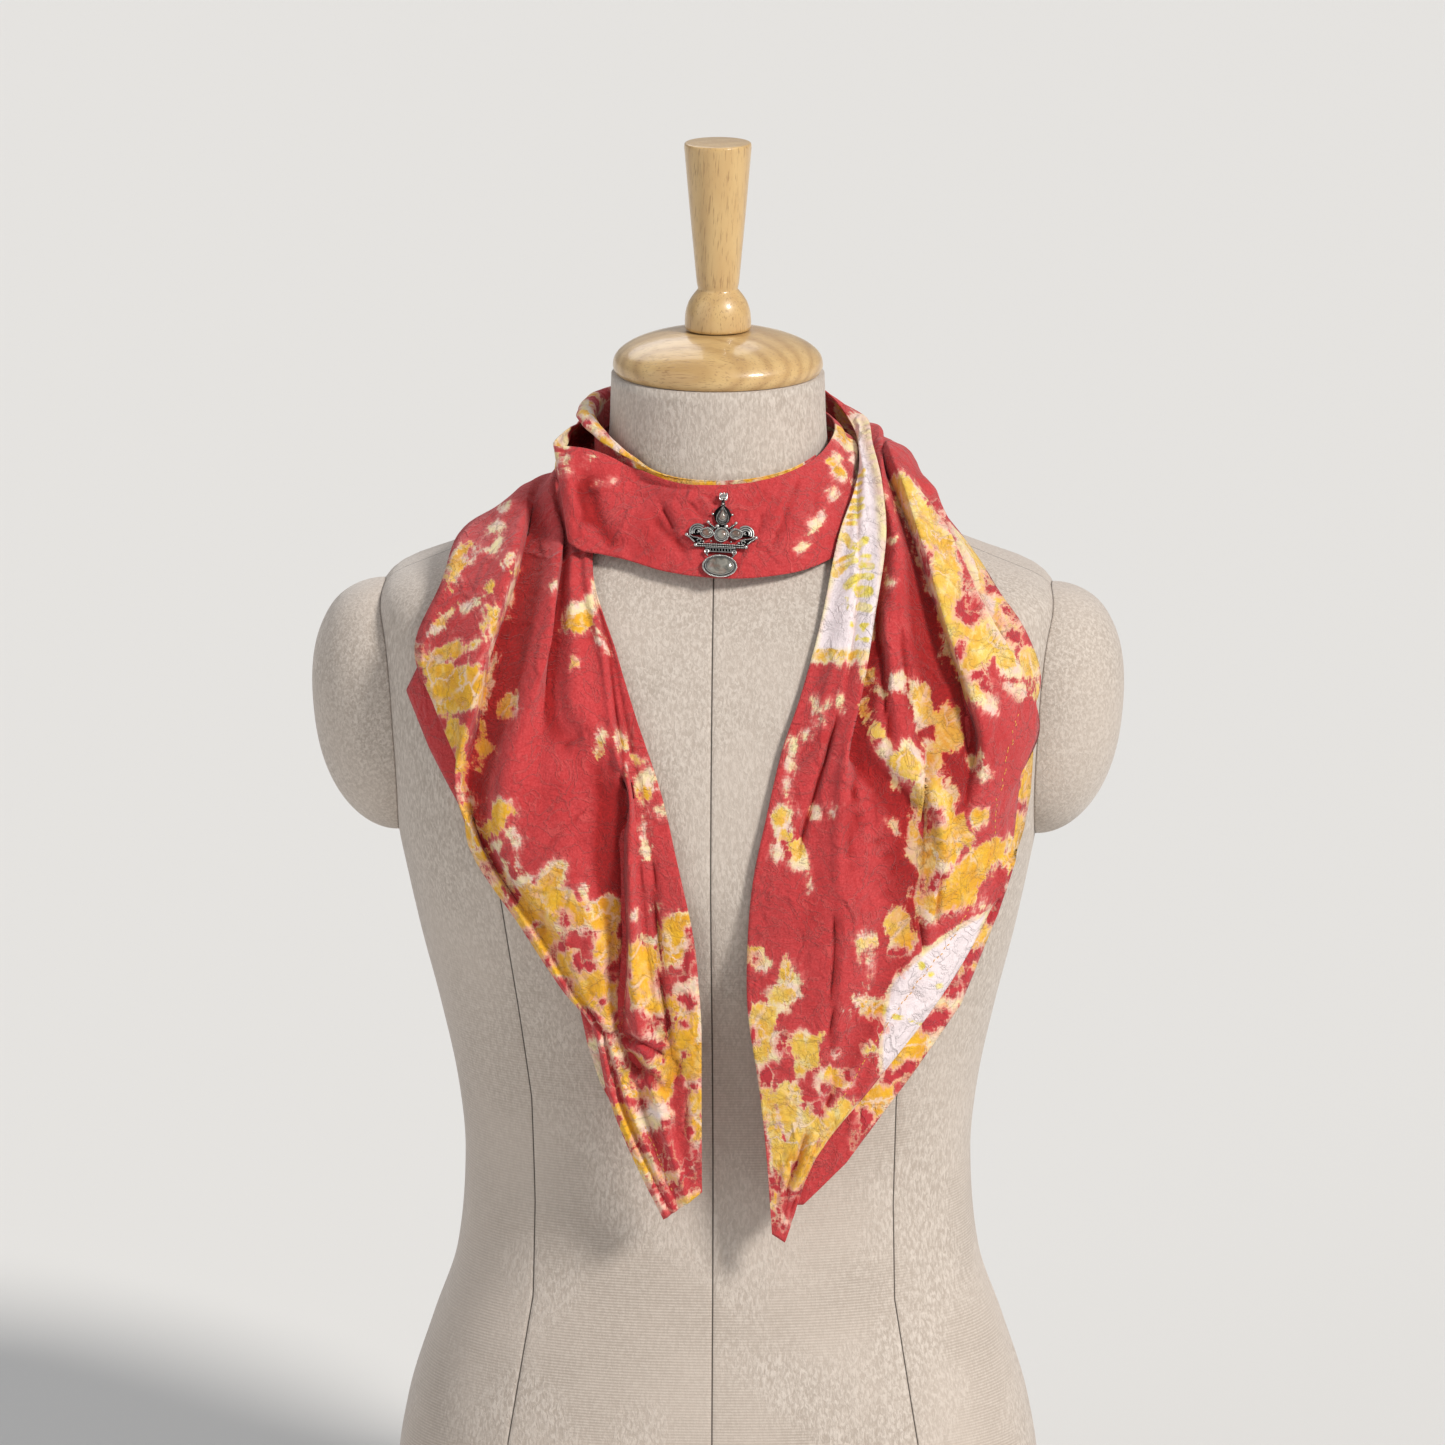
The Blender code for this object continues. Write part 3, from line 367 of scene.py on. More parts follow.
# The neck's wooden cap and handle: pale rubberwood turned on a lathe, sanded and
# varnished; the tapered handle screws into the dome through its own ball.
cap_profile = [  # radius, height above the neck's top, rounding
    (0, 0.3, 0), (55.5, 0.3, 0.5), (57.3, 3, 1.5), (57.5, 6.5, 2), (56, 10.5, 2.5), (51, 15, 4),
    (42, 19, 4), (31, 22, 3), (22, 23.6, 1), (0, 24, 0),
]
handle_profile = [
    (0, 0, 0), (17.4, 0, 0.5), (18.1, 1.2, 0.6), (18.2, 6, 3), (17.4, 12, 3), (15.2, 17, 2.5),
    (12.4, 20.5, 1), (11.0, 22.3, 0.5), (11.0, 23.2, 0.4), (11.6, 26, 0.8), (15.2, 64, 8),
    (18.4, 101, 0.6), (18.2, 102.6, 0.4), (17.4, 103.2, 0.4), (0, 103.6, 0),
]


def turned_wood(name, profile, foot):
    """A profile with its corners rounded, spun about the neck's axis."""
    bm = bmesh.new()
    corners = [bm.verts.new((radius, 0, foot + height)) for radius, height, _ in profile]
    for a, b in zip(corners, corners[1:]):
        bm.edges.new((a, b))
    for corner, (_, _, rounding) in zip(corners, profile):
        if rounding:
            bmesh.ops.bevel(
                bm, geom=[corner], offset=rounding, affect="VERTICES", segments=4, profile=0.5, material=-1,
                offset_type="OFFSET",
            )
    bmesh.ops.spin(
        bm, geom=bm.verts[:] + bm.edges[:], axis=(0, 0, 1), cent=(0, 0, 0), angle=2 * math.pi, steps=96,
        use_merge=True,
    )
    bmesh.ops.remove_doubles(bm, verts=bm.verts, dist=0.01)
    bmesh.ops.recalc_face_normals(bm, faces=bm.faces)
    bmesh.ops.scale(bm, vec=(MM, MM, MM), verts=bm.verts)
    mesh = mesh_of(name, bm)
    mesh.shade_smooth()
    mesh.set_sharp_from_angle(angle=math.radians(40))
    return placed(name, mesh)


def varnished_wood(name, ring_pitch, ring_tone, heart, lean):
    """Pale wood: wandering year rings about a heart that lies off the piece, pores and varnish."""
    made, sheet, shader = finish_of(name, {"Coat Roughness": 0.12, "Specular IOR Level": 0.5})
    place = sheet.node("TexCoord", out="Object")
    spot = sheet.node("Mapping", None, {"Vector": place, "Location": heart, "Rotation": lean})
    wander = spot.grow((0.35, 1, 1)).noise(26, 4, 0.55)
    parts = [sheet.node("SeparateXYZ", None, {"Vector": spot}, k) for k in (1, 2)]
    reach = (parts[0] * parts[0] + parts[1] * parts[1]).maths("SQRT")
    turns = (reach + wander * 0.012) * (math.tau / ring_pitch)
    rings = (turns.maths("SINE") * 0.5 + 0.5).maths("POWER", 1.7)
    pores = spot.grow((0.06, 1, 1)).noise(1400, 2)
    fleck = spot.grow((0.2, 1, 1)).noise(160, 4, 0.5)
    colour = (rings * ring_tone).tint(srgb(208, 174, 118), srgb(164, 124, 74))
    colour = (fleck.step(0.35, 0.75) * 0.7).tint(colour, srgb(194, 156, 102))
    colour = (pores.step(0.56, 0.66) * 0.5).tint(colour, srgb(132, 94, 56))
    colour.into(shader, "Base Color")
    (fleck * 0.12 + 0.3).into(shader, "Roughness")
    (0.6 - pores.step(0.6, 0.7) * 0.4).into(shader, "Coat Weight")
    (rings * 0.3 - pores.step(0.56, 0.66) * 0.4).bump(0.12).into(shader, "Normal")
    return made


cap_wood = varnished_wood("cap_wood", 0.0075, 0.55, (0.004, 0.012, -0.668), (0.05, 0.0, 0.3))
handle_wood = varnished_wood("handle_wood", 0.011, 0.3, (0.03, 0.07, 0.0), (0, 1.5, 0.1))
neck_cap = turned_wood("neck_cap_wood", cap_profile, neck_top)
neck_cap.data.materials.append(cap_wood)
neck_handle = turned_wood("neck_handle_wood", handle_profile, neck_top + 24.3)
neck_handle.data.materials.append(handle_wood)
for piece, node in ((neck_cap, "neck_cap"), (neck_handle, "neck_handle")):
    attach(piece, "root")
    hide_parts(node)

# The scarf's run: one square of thin cotton, folded corner to corner and again to a band,
# then wound once round the neck. Nine fold lines cross it from its slanting hemmed or
# lower edge to its folded or upper edge. hang: on the form's front, drape: between two
# points, wind: round the neck at an angle from the front.
EVEN = [k / 8 for k in range(9)]
FLAT = [0] * 9


def hang(height_out, outer, height_in, inner, shares, lifts):
    share = np.array(shares)
    x, z = outer + (inner - outer) * share, height_out + (height_in - height_out) * share
    return ("hang", np.stack([x, z], axis=-1), share, lifts)


def drape(outer, inner, crown, shares, lifts):
    return ("drape", (np.array(outer, float), np.array(inner, float), crown), np.array(shares), lifts)


def wind(angle, low_radius, low_height, high_radius, high_height, belly, lifts):
    sizes = (math.radians(angle), low_radius, low_height, high_radius, high_height, belly)
    return ("wind", sizes, np.array(EVEN), lifts)


left_tail = [
    hang(254, -26, 270, -5, [0, .1, .2, .3, .4, .5, .65, .8, 1], [1, 2, 1, 2, 1, 2, 3, 2, 1]),
    hang(290, -43, 296, -5, [0, .09, .17, .26, .35, .44, .57, .72, 1], [1, 3, 1, 4, 2, 2, 6, 2, 3]),
    hang(325, -56, 330, -5, [0, .06, .12, .2, .28, .36, .52, .7, 1], [1, 4, 1, 5, 3, 1, 8, 2, 4]),
    hang(362, -64, 362, -5, [0, .04, .08, .13, .18, .24, .45, .67, 1], [1, 3, 1, 4, 3, 0, 9, 2, 4]),
    hang(384, -81, 382, -6, [0, .05, .09, .18, .3, .4, .55, .7, 1], [1, 3, 1, 5, 5, 0, 10, 2, 3]),
    hang(417, -103, 415, -9, [0, .06, .1, .25, .43, .56, .65, .74, 1], [1, 4, 1, 6, 6, 0, 9, 2, 3]),
    hang(458, -131, 458, -18, [0, .06, .1, .21, .47, .71, .77, .83, 1], [1, 5, 1, 8, 7, 0, 8, 3, 2]),
    hang(495, -138, 495, -27, [0, .05, .08, .27, .5, .8, .85, .9, 1], [2, 9, 0, 11, 5, 1, 7, 2, 2]),
    hang(534, -149, 534, -41, [0, .207, .247, .48, .56, .72, .86, .92, 1], [4, 13, 0, 10, 2, 7, 4, 3, 2]),
    hang(562, -160, 566, -52, [0, .358, .408, .642, .692, .8, .89, .94, 1], [4, 13, 0, 10, 0, 6, 3, 4, 2]),
    drape((-147, -62, 594), (-64, -84, 598), 2,
          [0, .457, .507, .745, .785, .86, .92, .96, 1], [4, 12, 0, 9, 0, 5, 2, 3, 1]),
    drape((-140, -24, 612), (-66, -62, 618), 3,
          [0, .49, .54, .76, .8, .86, .91, .95, 1], [3, 9, 1, 5, 0, 3, 2, 3, 1]),
    drape((-122, 4, 620), (-68, -30, 642), 6,
          [0, .42, .48, .6, .66, .75, .83, .92, 1], [3, 6, 2, 4, 1, 3, 2, 3, 1]),
]
nape_inner = [
    wind(-122, 102, 627, 67, 663, 3, [1, 4, 1, 4, 1, 3, 1, 2, 1]),
    wind(-150, 88, 633, 65, 671, 1, [0, 3, 0, 3, 0, 3, 0, 2, 0]),
    wind(-180, 80, 636, 65, 675, 1, [0, 3, 0, 3, 0, 3, 0, 2, 0]),
    wind(-212, 81, 636, 65, 675, 1, [0, 3, 0, 3, 0, 2, 0, 2, 0]),
    wind(-240, 84, 637, 64.5, 673, 1, [0, 2, 0, 3, 0, 2, 0, 1, 0]),
]
band = [
    wind(-265, 87, 640, 64, 671, 1, [0, 2, 0, 2, 0, 2, 0, 1, 0]),
    wind(-285, 91, 632, 64, 666, 1, [0, 1, 0, 2, 0, 2, 0, 1, 0]),
    wind(-305, 95, 619, 65, 660, 1, [0, 0, 1, 1, 0, 1, 1, 1, 0]),
    wind(-325, 94, 608.5, 66, 655, 1, [0, 1, 2, 3, 3, 2, 1, 0, 0]),
    wind(-343, 89.5, 604.5, 66, 652, 1, FLAT),
    wind(-360, 88, 604.5, 66, 651, 0.5, FLAT),
    wind(-377, 88, 607, 66, 651.5, 0.5, FLAT),
    drape((-47, -79, 612.5), (-41, -49, 655), 1, EVEN, [0, 0, 1, 2, 2, 1, 0, 0, 0]),
    drape((-60, -77, 615), (-57, -47.5, 663), 1, EVEN, FLAT),
    drape((-69, -76, 616), (-70, -46, 667), 1, EVEN, [0, 0, 0, 1, 1, 1, 0, 0, 0]),
    drape((-76, -74, 618.5), (-82, -44.5, 668), 1, EVEN, FLAT),
    drape((-80, -69, 621), (-88.5, -40, 667), 1, EVEN, FLAT),
    drape((-81, -59, 628), (-88, -29, 668), 1, EVEN, FLAT),
    drape((-86, -28, 642), (-81, -9, 671), 1, EVEN, [0, 1, 0, 1, 0, 1, 0, 1, 0]),
]
nape_outer = [
    wind(-455, 89, 647, 75, 671.5, 1, [0, .8, 1, .4, 0, .8, 1, .3, 0]),
    wind(-480, 89, 646, 74, 679, 1, [0, 1.6, 2, .6, 0, 1.4, 1.8, .4, 0]),
    wind(-508, 89, 644, 72, 684, 1, [0, 2.2, 2.8, .8, 0, 1.2, 2.4, .6, 0]),
    wind(-540, 89, 643, 71.5, 687, 1, [0, 2.6, 3, 1, .2, 1, 2.8, .8, 0]),
    wind(-570, 91, 641, 71, 686, 1, [0, 2, 3, 1.6, 0, 1, 2.6, 1, 0]),
    wind(-594, 100, 639, 71, 682, 2, [1, 2.6, 3, 2, .4, 2, 2.8, 1.4, 0]),
]
right_tail = [
    drape((108, 32, 632), (72, 24, 668), 8,
          [0, .3, .46, .54, .64, .74, .8, .9, 1], [1, 6, 3, 2, 5, 2, 5, 3, 1]),
    drape((124, 0, 620), (76, -8, 658), 9,
          [0, .4, .7, .74, .77, .86, .9, .95, 1], [2, 7, 9, 1, 5, 0, 8, 5, 1]),
    drape((141, -34, 605), (75.5, -40, 644), 8,
          [0, .3, .617, .657, .75, .8, .84, .92, 1], [2, 6, 11, 1, 7, 0, 9, 5, 1]),
    drape((154, -58, 590), (67, -66, 622), 4,
          [0, .2, .476, .516, .66, .72, .765, .87, 1], [2, 5, 12, 1, 8, 0, 10, 6, 1]),
    hang(571, 168, 580, 58, [0, .13, .375, .415, .66, .736, .786, .88, 1], [2, 5, 12, 0, 9, 0, 10, 6, 1]),
    hang(543, 176, 545, 48, [0, .08, .296, .336, .61, .739, .789, .87, 1], [2, 5, 12, 0, 9, 0, 10, 6, 1]),
    hang(516, 174, 516, 38, [0, .05, .22, .25, .55, .73, .77, .84, 1], [1, 5, 10, 1, 8, 0, 9, 5, 1]),
    hang(482, 165, 482, 30, [0, .07, .18, .23, .34, .4, .71, .84, 1], [1, 5, 7, 4, 8, 1, 8, 3, 1]),
    hang(448, 160, 448, 23, [0, .05, .13, .23, .28, .34, .66, .83, 1], [1, 4, 5, 5, 7, 1, 8, 4, 1]),
    hang(414, 147, 414, 20, [0, .06, .13, .2, .25, .3, .59, .8, 1], [1, 3, 4, 4, 5, 2, 7, 4, 1]),
    hang(375, 123, 375, 20, [0, .06, .13, .19, .25, .31, .53, .76, 1], [1, 3, 4, 3, 4, 2, 6, 3, 1]),
    hang(330, 88, 330, 26, [0, .06, .12, .18, .25, .32, .47, .72, 1], [1, 3, 3, 3, 4, 2, 5, 3, 1]),
    hang(291, 58, 291, 30, [0, .08, .16, .24, .32, .4, .52, .74, 1], [1, 3, 2, 3, 2, 2, 4, 2, 1]),
    hang(241, 40, 246, 33, [0, .12, .25, .37, .5, .62, .75, .87, 1], [1, 1, 1, 1, 1, 1, 1, 1, 1]),
]
off_form, hang_lean, bust_height, widest_hang = 4.2, 0.075, 448, 150
cloth_wall, thin_wall, cloth_clear = 0.9, 0.8, 1.35


def through(values, places):
    """Catmull-Rom through evenly numbered rows of numbers, read at fractional places."""
    values = np.asarray(values, float)
    last = len(values) - 1
    at = np.clip(places, 0, last - 1e-9)
    i = at.astype(int)
    t = (at - i).reshape(-1, *[1] * (values.ndim - 1))
    a, b, c, d = (values[np.clip(i + k, 0, last)] for k in (-1, 0, 1, 2))
    bent = b + (c - a) * (0.5 * t) + (a * 2 - b * 5 + c * 4 - d) * (0.5 * t**2)
    return bent + (b * 3 - a - c * 3 + d) * (0.5 * t**3)


def lies_at(x, height, stand_off):
    """Points of cloth on the form's front, hanging clear of it below the bust."""
    bust = form_front(np.minimum(np.abs(x), widest_hang), np.full_like(x, bust_height))
    swung = bust + hang_lean * (bust_height - height)
    skin = form_front(x, height)
    skin = np.where(height < bust_height, np.minimum(skin, swung), skin)
    return np.stack([x, skin - stand_off, height], axis=-1)


tuck_gap, tuck_fall, tuck_share = 0.056, 4, 0.8  # a steep side is tucked under its ridge
valley_stay = 1.5  # the cloth stays low before it rises
hung_scale, hung_drop = 1.15, 1.0  # hanging folds stand a little deeper than wound ones
hollow_reach, hollow_full = 11, 7  # columns searched for the ridges on each side, and mm below them at which the painted shade in the hollows is darkest


def row_places(kind, sizes, share):
    """The points of one row of the run at shares of its breadth, without its folds."""
    if kind == "hang":
        flat = sizes[0] + (sizes[-1] - sizes[0]) * share[:, None]
        return lies_at(flat[:, 0], flat[:, 1], off_form)
    if kind == "drape":
        outer, inner, crown = sizes
        away = np.array([0, -0.35, 1]) / math.hypot(0.35, 1)
        return outer + (inner - outer) * share[:, None] + away * (crown * np.sin(math.pi * share))[:, None]
    angle, low_radius, low_height, high_radius, high_height, belly = sizes
    radius = low_radius + (high_radius - low_radius) * share + belly * np.sin(math.pi * share)
    rise = low_height + (high_height - low_height) * share
    return np.stack([radius * math.sin(angle), -radius * math.cos(angle), rise], axis=-1)


def fold_section(row, steps):
    """One row's points laid flat, the same with steep folds tucked under, and the lifts."""
    kind, sizes, shares, lifts = row
    lifts = np.array(lifts, float)
    if kind != "wind":
        lifts = lifts * hung_scale - hung_drop
    tucked = np.array(shares, float)
    for k in range(len(shares) - 1):
        gap = shares[k + 1] - shares[k]
        if gap <= tuck_gap and abs(lifts[k] - lifts[k + 1]) >= tuck_fall:
            tucked[k] += tuck_share * gap
            tucked[k + 1] -= tuck_share * gap
    parts = []
    for values in (shares, tucked):
        spread = [values[k] + (values[k + 1] - values[k]) * np.arange(n) / n for k, n in enumerate(steps)]
        parts.append(row_places(kind, sizes, np.append(np.concatenate(spread), values[-1])))
    eased = []
    for k, n in enumerate(steps):
        t, climb = np.arange(n) / n, lifts[k + 1] - lifts[k]
        if shares[k + 1] - shares[k] > tuck_gap and abs(climb) > tuck_fall:
            t = t**valley_stay if climb > 0 else 1 - (1 - t) ** valley_stay
        eased.append(lifts[k] + climb * (1 - np.cos(math.pi * t)) / 2)
    return *parts, np.append(np.concatenate(eased), lifts[-1])


def outward_of(points):
    """The outward direction at each point of a strip."""
    wide = np.concatenate([points[:1], points, points[-1:]], axis=0)
    along = wide[2:] - wide[:-2]
    broad = np.concatenate([points[:, :1], points, points[:, -1:]], axis=1)
    across = broad[:, 2:] - broad[:, :-2]
    normal = np.cross(across, along)
    return normal / np.maximum(np.linalg.norm(normal, axis=-1, keepdims=True), 1e-9)


def softened(values, rounds):
    """Values over a strip, averaged with their neighbours."""
    for _ in range(rounds):
        for axis in (0, 1):
            ahead = np.concatenate([np.take(values, [0], axis), np.delete(values, -1, axis)], axis)
            behind = np.concatenate([np.delete(values, 0, axis), np.take(values, [-1], axis)], axis)
            values = values * 0.5 + (ahead + behind) * 0.25
    return values


def skin_of(piece, scale=1 / MM):
    """The surface of a piece in mm, for laying cloth on it."""
    corners = [vertex.co * scale for vertex in piece.data.vertices]
    return BVHTree.FromPolygons(corners, [tuple(face.vertices) for face in piece.data.polygons])


def laid_on(points, surfaces, outward=None, clear=cloth_clear, rounds=2, search=20):
    """Points moved out where they touch what lies under them."""
    for _ in range(rounds):
        ways = outward_of(points) if outward is None else outward
        push = np.zeros(points.shape[:2])
        for k in range(points.shape[0]):
            for c in range(points.shape[1]):
                spot, away = Vector(points[k, c]), Vector(ways[k, c])
                for surface in surfaces:
                    hit, _, _, distance = surface.ray_cast(spot + away * search, -away, search + clear)
                    if hit is not None:
                        push[k, c] = max(push[k, c], search - distance + clear)
        soft = softened(push, 6)
        push = np.maximum(push, np.minimum(soft * 1.3, push.max()))
        points = points + ways * softened(push, 2)[..., None]
    return points


def strip_of(rows, steps, spacing, first, last):
    """The folded strip between two rows of the run, its outward ways, its places, and how far each point lies
    below the ridges on both sides, for painted shade in the hollows.
    """
    sections = [fold_section(row, steps) for row in rows]
    flat, tucked, lifts = (np.array([section[k] for section in sections]) for k in range(3))
    coarse_places = np.linspace(first, last, 200)
    coarse = through(flat, coarse_places)
    middle = np.linalg.norm(np.diff(coarse.mean(axis=1), axis=0), axis=-1)
    run = np.concatenate([[0], np.cumsum(middle)])
    places = np.interp(np.linspace(0, run[-1], int(run[-1] / spacing) + 1), run, coarse_places)
    outward = outward_of(through(flat, places))
    lift = through(lifts, places)
    walls = []
    for side in (1, -1):
        wall = lift[:, ::side]
        for _ in range(hollow_reach):
            wall = np.maximum(wall, np.pad(wall, ((0, 0), (1, 0)), mode="edge")[:, :-1])
        walls.append(wall[:, ::side])
    hollow_shade = np.clip((softened(np.minimum(*walls), 3) - lift) / hollow_full, 0, 1)
    return through(tucked, places) + outward * lift[..., None], outward, places, hollow_shade


def threads_of(points):
    """Metres across and along the cloth at each point, for its weave."""
    across = np.cumsum(np.linalg.norm(np.diff(points, axis=1, prepend=points[:, :1]), axis=-1), axis=1)
    along = np.cumsum(np.linalg.norm(np.diff(points, axis=0, prepend=points[:1]), axis=-1).mean(axis=1))
    across = across - across[:, -1:]
    return np.stack([across, np.broadcast_to(along[:, None], across.shape)], axis=-1) * MM


far_outside = -40.0


def stroke_depth(seen, strokes):
    """How deep places lie inside the nearest of some rounded strokes, in mm; outside is negative.

    A stroke is a row of places, across and up, each with a radius. A last radius that is left
    out is the same as the one before it.
    """
    depth = np.full(seen.shape[:-1], far_outside)
    for stroke in strokes:
        if len(stroke) % 3:
            stroke = (*stroke, stroke[-3])
        spots = np.reshape(stroke, (-1, 3)).astype(float)
        for start, end in zip(spots, spots[min(1, len(spots) - 1):]):
            away, span = seen - start[:2], end[:2] - start[:2]
            t = np.clip(away @ span / max(span @ span, 1e-6), 0, 1)
            distance = np.linalg.norm(away - t[..., None] * span, axis=-1)
            depth = np.maximum(depth, start[2] + (end[2] - start[2]) * t - distance)
    return depth


def dye_marks(seen, gold, pale, red):
    """How deep places lie inside the golden, pale and red patches."""
    patches = {"gold": gold, "pale": pale, "red": red}
    return {mark: stroke_depth(seen, strokes) for mark, strokes in patches.items()}


def crease_height(seen, creases):
    """The sum of soft ridges and troughs, each fading towards both its ends."""
    total = np.zeros(seen.shape[:-1])
    for height, width, path in creases:
        path = np.array(path)
        lengths = np.linalg.norm(np.diff(path, axis=0), axis=-1)
        whole, before = lengths.sum(), 0.0
        best, strength = np.full(total.shape, 1e9), np.zeros(total.shape)
        for (a, b), length in zip(zip(path, path[1:]), lengths):
            t = np.clip((seen - a) @ (b - a) / length**2, 0, 1)
            distance = np.linalg.norm(seen - a - t[..., None] * (b - a), axis=-1)
            along = (before + t * length) / whole
            nearer = distance < best
            best = np.where(nearer, distance, best)
            strength = np.where(nearer, np.clip(np.minimum(along, 1 - along) * 6, 0, 1), strength)
            before += length
        total += height * strength * np.exp(-((best / max(width, 1.5)) ** 2))
    return total


# The dyed cotton: thin plain weave, tied and dyed coral red, so that golden patches stay
# with pale frayed edges, pale veins where the ties crossed, and small red islands.
def dyed_cotton():
    made, sheet, shader = finish_of("dyed_cotton", {
        "Sheen Weight": 0.15, "Sheen Roughness": 0.6, "Specular IOR Level": 0.22, "Roughness": 0.8,
    })
    place = sheet.node("TexCoord", out="Object")
    thread = sheet.node("UVMap", {"uv_map": "thread"})
    gold, pale, red, lemon, hollow_shade = (
        sheet.node("Attribute", {"attribute_name": mark}, out="Fac")
        for mark in ("gold", "pale", "red", "lemon", "hollow_shade")
    )

    def cracks(vector, scale, width):
        """A net of thin lines between cells, as the ties and presses leave it."""
        cells = sheet.node("TexVoronoi", {"feature": "DISTANCE_TO_EDGE"}, {"Vector": vector, "Scale": scale})
        return 1 - cells.step(0.0, width)

    bent = place.moved(place.noise(60, 4).grow((0.024,) * 3))
    shifted = place.moved(place.noise(18, 3).grow((0.03,) * 3))
    fray = place.noise(110, 7, 0.7, 0.6) - 0.5
    wander = place.noise(44, 2) - 0.5
    along = thread.grow((1, 0.2, 1)).noise(700, 4, 0.6) - 0.5
    across = thread.grow((0.2, 1, 1)).noise(700, 4, 0.6) - 0.5
    streak = thread.grow((1, 0.3, 1)).noise(260, 4, 0.6) - 0.5
    freckles = sheet.node("TexVoronoi", None, {"Vector": bent.grow((1, 1, 0.8)), "Scale": 95}) - 0.45
    bleed = fray * 8 + wander * 7 + freckles * 6 + streak * 10 + along * 5 + across * 4
    calm = 1 - pale.step(3.0, 8.0) * 0.8
    gold_depth = gold + bleed * calm
    rim = place.noise(42, 3).step(0.45, 0.66) * 2.4
    pale_depth = (gold_depth + rim - 0.6).most(pale + bleed * 0.9)
    blush = pale_depth.step(-3.8, 0.2) * place.noise(36, 2).step(0.36, 0.58)
    pale_mask = pale_depth.step(-1.5, 1.6)
    gold_mask = (gold_depth * (2.6 - calm * 1.6)).step(-0.8, 2.0)
    undyed = gold_mask.most(pale_mask)
    red_depth = red + bleed
    mottle = place.noise(900, 4, 0.75)
    patchy = place.noise(34, 4, 0.6)
    wrinkle = place.noise(64, 5, 0.58, 0.9) - 0.5
    wrinkle = 1 - wrinkle.most(0 - wrinkle).step(0.0, 0.03)
    coral = mottle.step(0.3, 0.7).tint(srgb(182, 42, 45), srgb(206, 70, 72))
    coral = (patchy.step(0.45, 0.75) * 0.6).tint(coral, srgb(180, 36, 38))
    coral = (wrinkle * 0.35).tint(coral, srgb(216, 92, 88))
    coral = (blush * 0.75).tint(coral, srgb(226, 122, 116))
    warmth = place.noise(90, 5, 0.65).step(0.3, 0.7)
    golden = warmth.tint(srgb(240, 186, 40), srgb(226, 158, 30))
    yellow = warmth.tint(srgb(236, 200, 88), srgb(230, 172, 58))
    golden = lemon.step(0.2, 0.55).tint(golden, yellow)
    golden = lemon.step(0.6, 0.95).tint(golden, srgb(232, 212, 84))
    light = place.noise(70, 6, 0.7, 0.5) + streak * 0.5
    golden = (light.step(0.48, 0.68) * (lemon * 0.8 + 0.3)).tint(golden, srgb(244, 228, 168))
    smudge = place.noise(62, 5, 0.65, 0.6).step(0.56, 0.7) * 0.5
    golden = smudge.tint(golden, srgb(234, 182, 158))
    veins = cracks(bent, 52, 0.08) * place.noise(30, 2).step(0.43, 0.6)
    golden = (veins * 0.75).tint(golden, srgb(242, 214, 194))
    cream = place.noise(130, 4).step(0.35, 0.65).tint(srgb(238, 206, 190), srgb(240, 222, 168))
    cream = pale.step(4.0, 9.0).tint(cream, srgb(240, 226, 228))
    # Cream where the pale marks lie: undyed cloth, and also two thin painted highlights listed among the left
    # tail's pale strokes.
    colour = pale_mask.tint(coral, cream)
    colour = gold_mask.tint(colour, golden)
    colour = (red_depth.step(-4.0, -0.6) * undyed * 0.8).tint(colour, srgb(236, 176, 160))
    colour = (red_depth.step(-1.4, 1.4) * undyed).tint(colour, srgb(190, 48, 56))
    weft = thread.grow((0.12, 1, 1)).noise(2600, 2, 0.5)
    warp = thread.grow((1, 0.12, 1)).noise(2600, 2, 0.5)
    crumple = place.noise(95, 6, 0.6, 0.9)
    pressed = cracks(shifted.grow((1, 1, 0.7)), 34, 0.09) * place.noise(22, 2).step(0.42, 0.6)
    grain = weft * 0.35 + warp * 0.35 + mottle * 0.3
    bump = (crumple + pressed * 0.35 + wrinkle * 0.16).bump(2.4, strength=1.0)
    bump = grain.bump(0.24, bump, 0.9)
    weave = (weft * warp).step(0.1, 0.4).tint((0.72, 0.68, 0.68), (1, 1, 1))
    colour = colour.darkened(weave, 0.35)
    # Painted shade in the folds' hollows: there the colour is multiplied by itself into a darker, more
    # saturated red, and undyed patches turn a darker orange-gold.
    deep = undyed.tint(colour.darkened(colour).grow((1.1, 0.85, 0.8)), colour.grow((0.78, 0.6, 0.5)))
    colour = (hollow_shade.step(0.0, 0.75) * 0.92).tint(colour, deep)
    colour.into(shader, "Base Color")
    bump.into(shader, "Normal")
    return made


cotton = dyed_cotton()


def scarf_sheet(name, points, marks, nodes, wall=cloth_wall):
    """A sheet of the scarf with its dye marks and the painted shade in its folds' hollows, riding on the form
    in place of its solids.
    """
    blank = np.zeros(points.shape[:2])
    marks = {"lemon": blank, "hollow_shade": blank, **marks}
    piece = grid_piece(name, points, marks, thickness=wall, thread=threads_of(points))
    piece.data.materials.append(cotton)
    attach(piece, "root")
    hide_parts(*nodes)
    return piece


# The second layer of the folded square: it hangs against the form behind both tails and
# shows as a narrow strip past their slanting hemmed edges.
left_under = np.array([  # height, outer edge, inner edge
    (268, -30, -12), (300, -43, -13), (330, -60, -13), (352, -67, -13),
    (372, -71, -14), (413, -98, -17), (458, -129, -27), (482, -137.5, -32),
    (510, -154, -42), (538, -167, -52), (553, -160, -64), (570, -148, -76),
])
right_under = np.array([
    (548, 163, 78), (528, 170, 66), (506, 173, 54), (480, 171.5, 42), (460, 168, 36), (437, 161, 32),
    (418, 155, 30), (394, 145, 29), (370, 135, 30), (356, 125, 31), (331, 107, 34), (314, 94, 36),
    (285, 73, 37), (262, 50, 36),
])
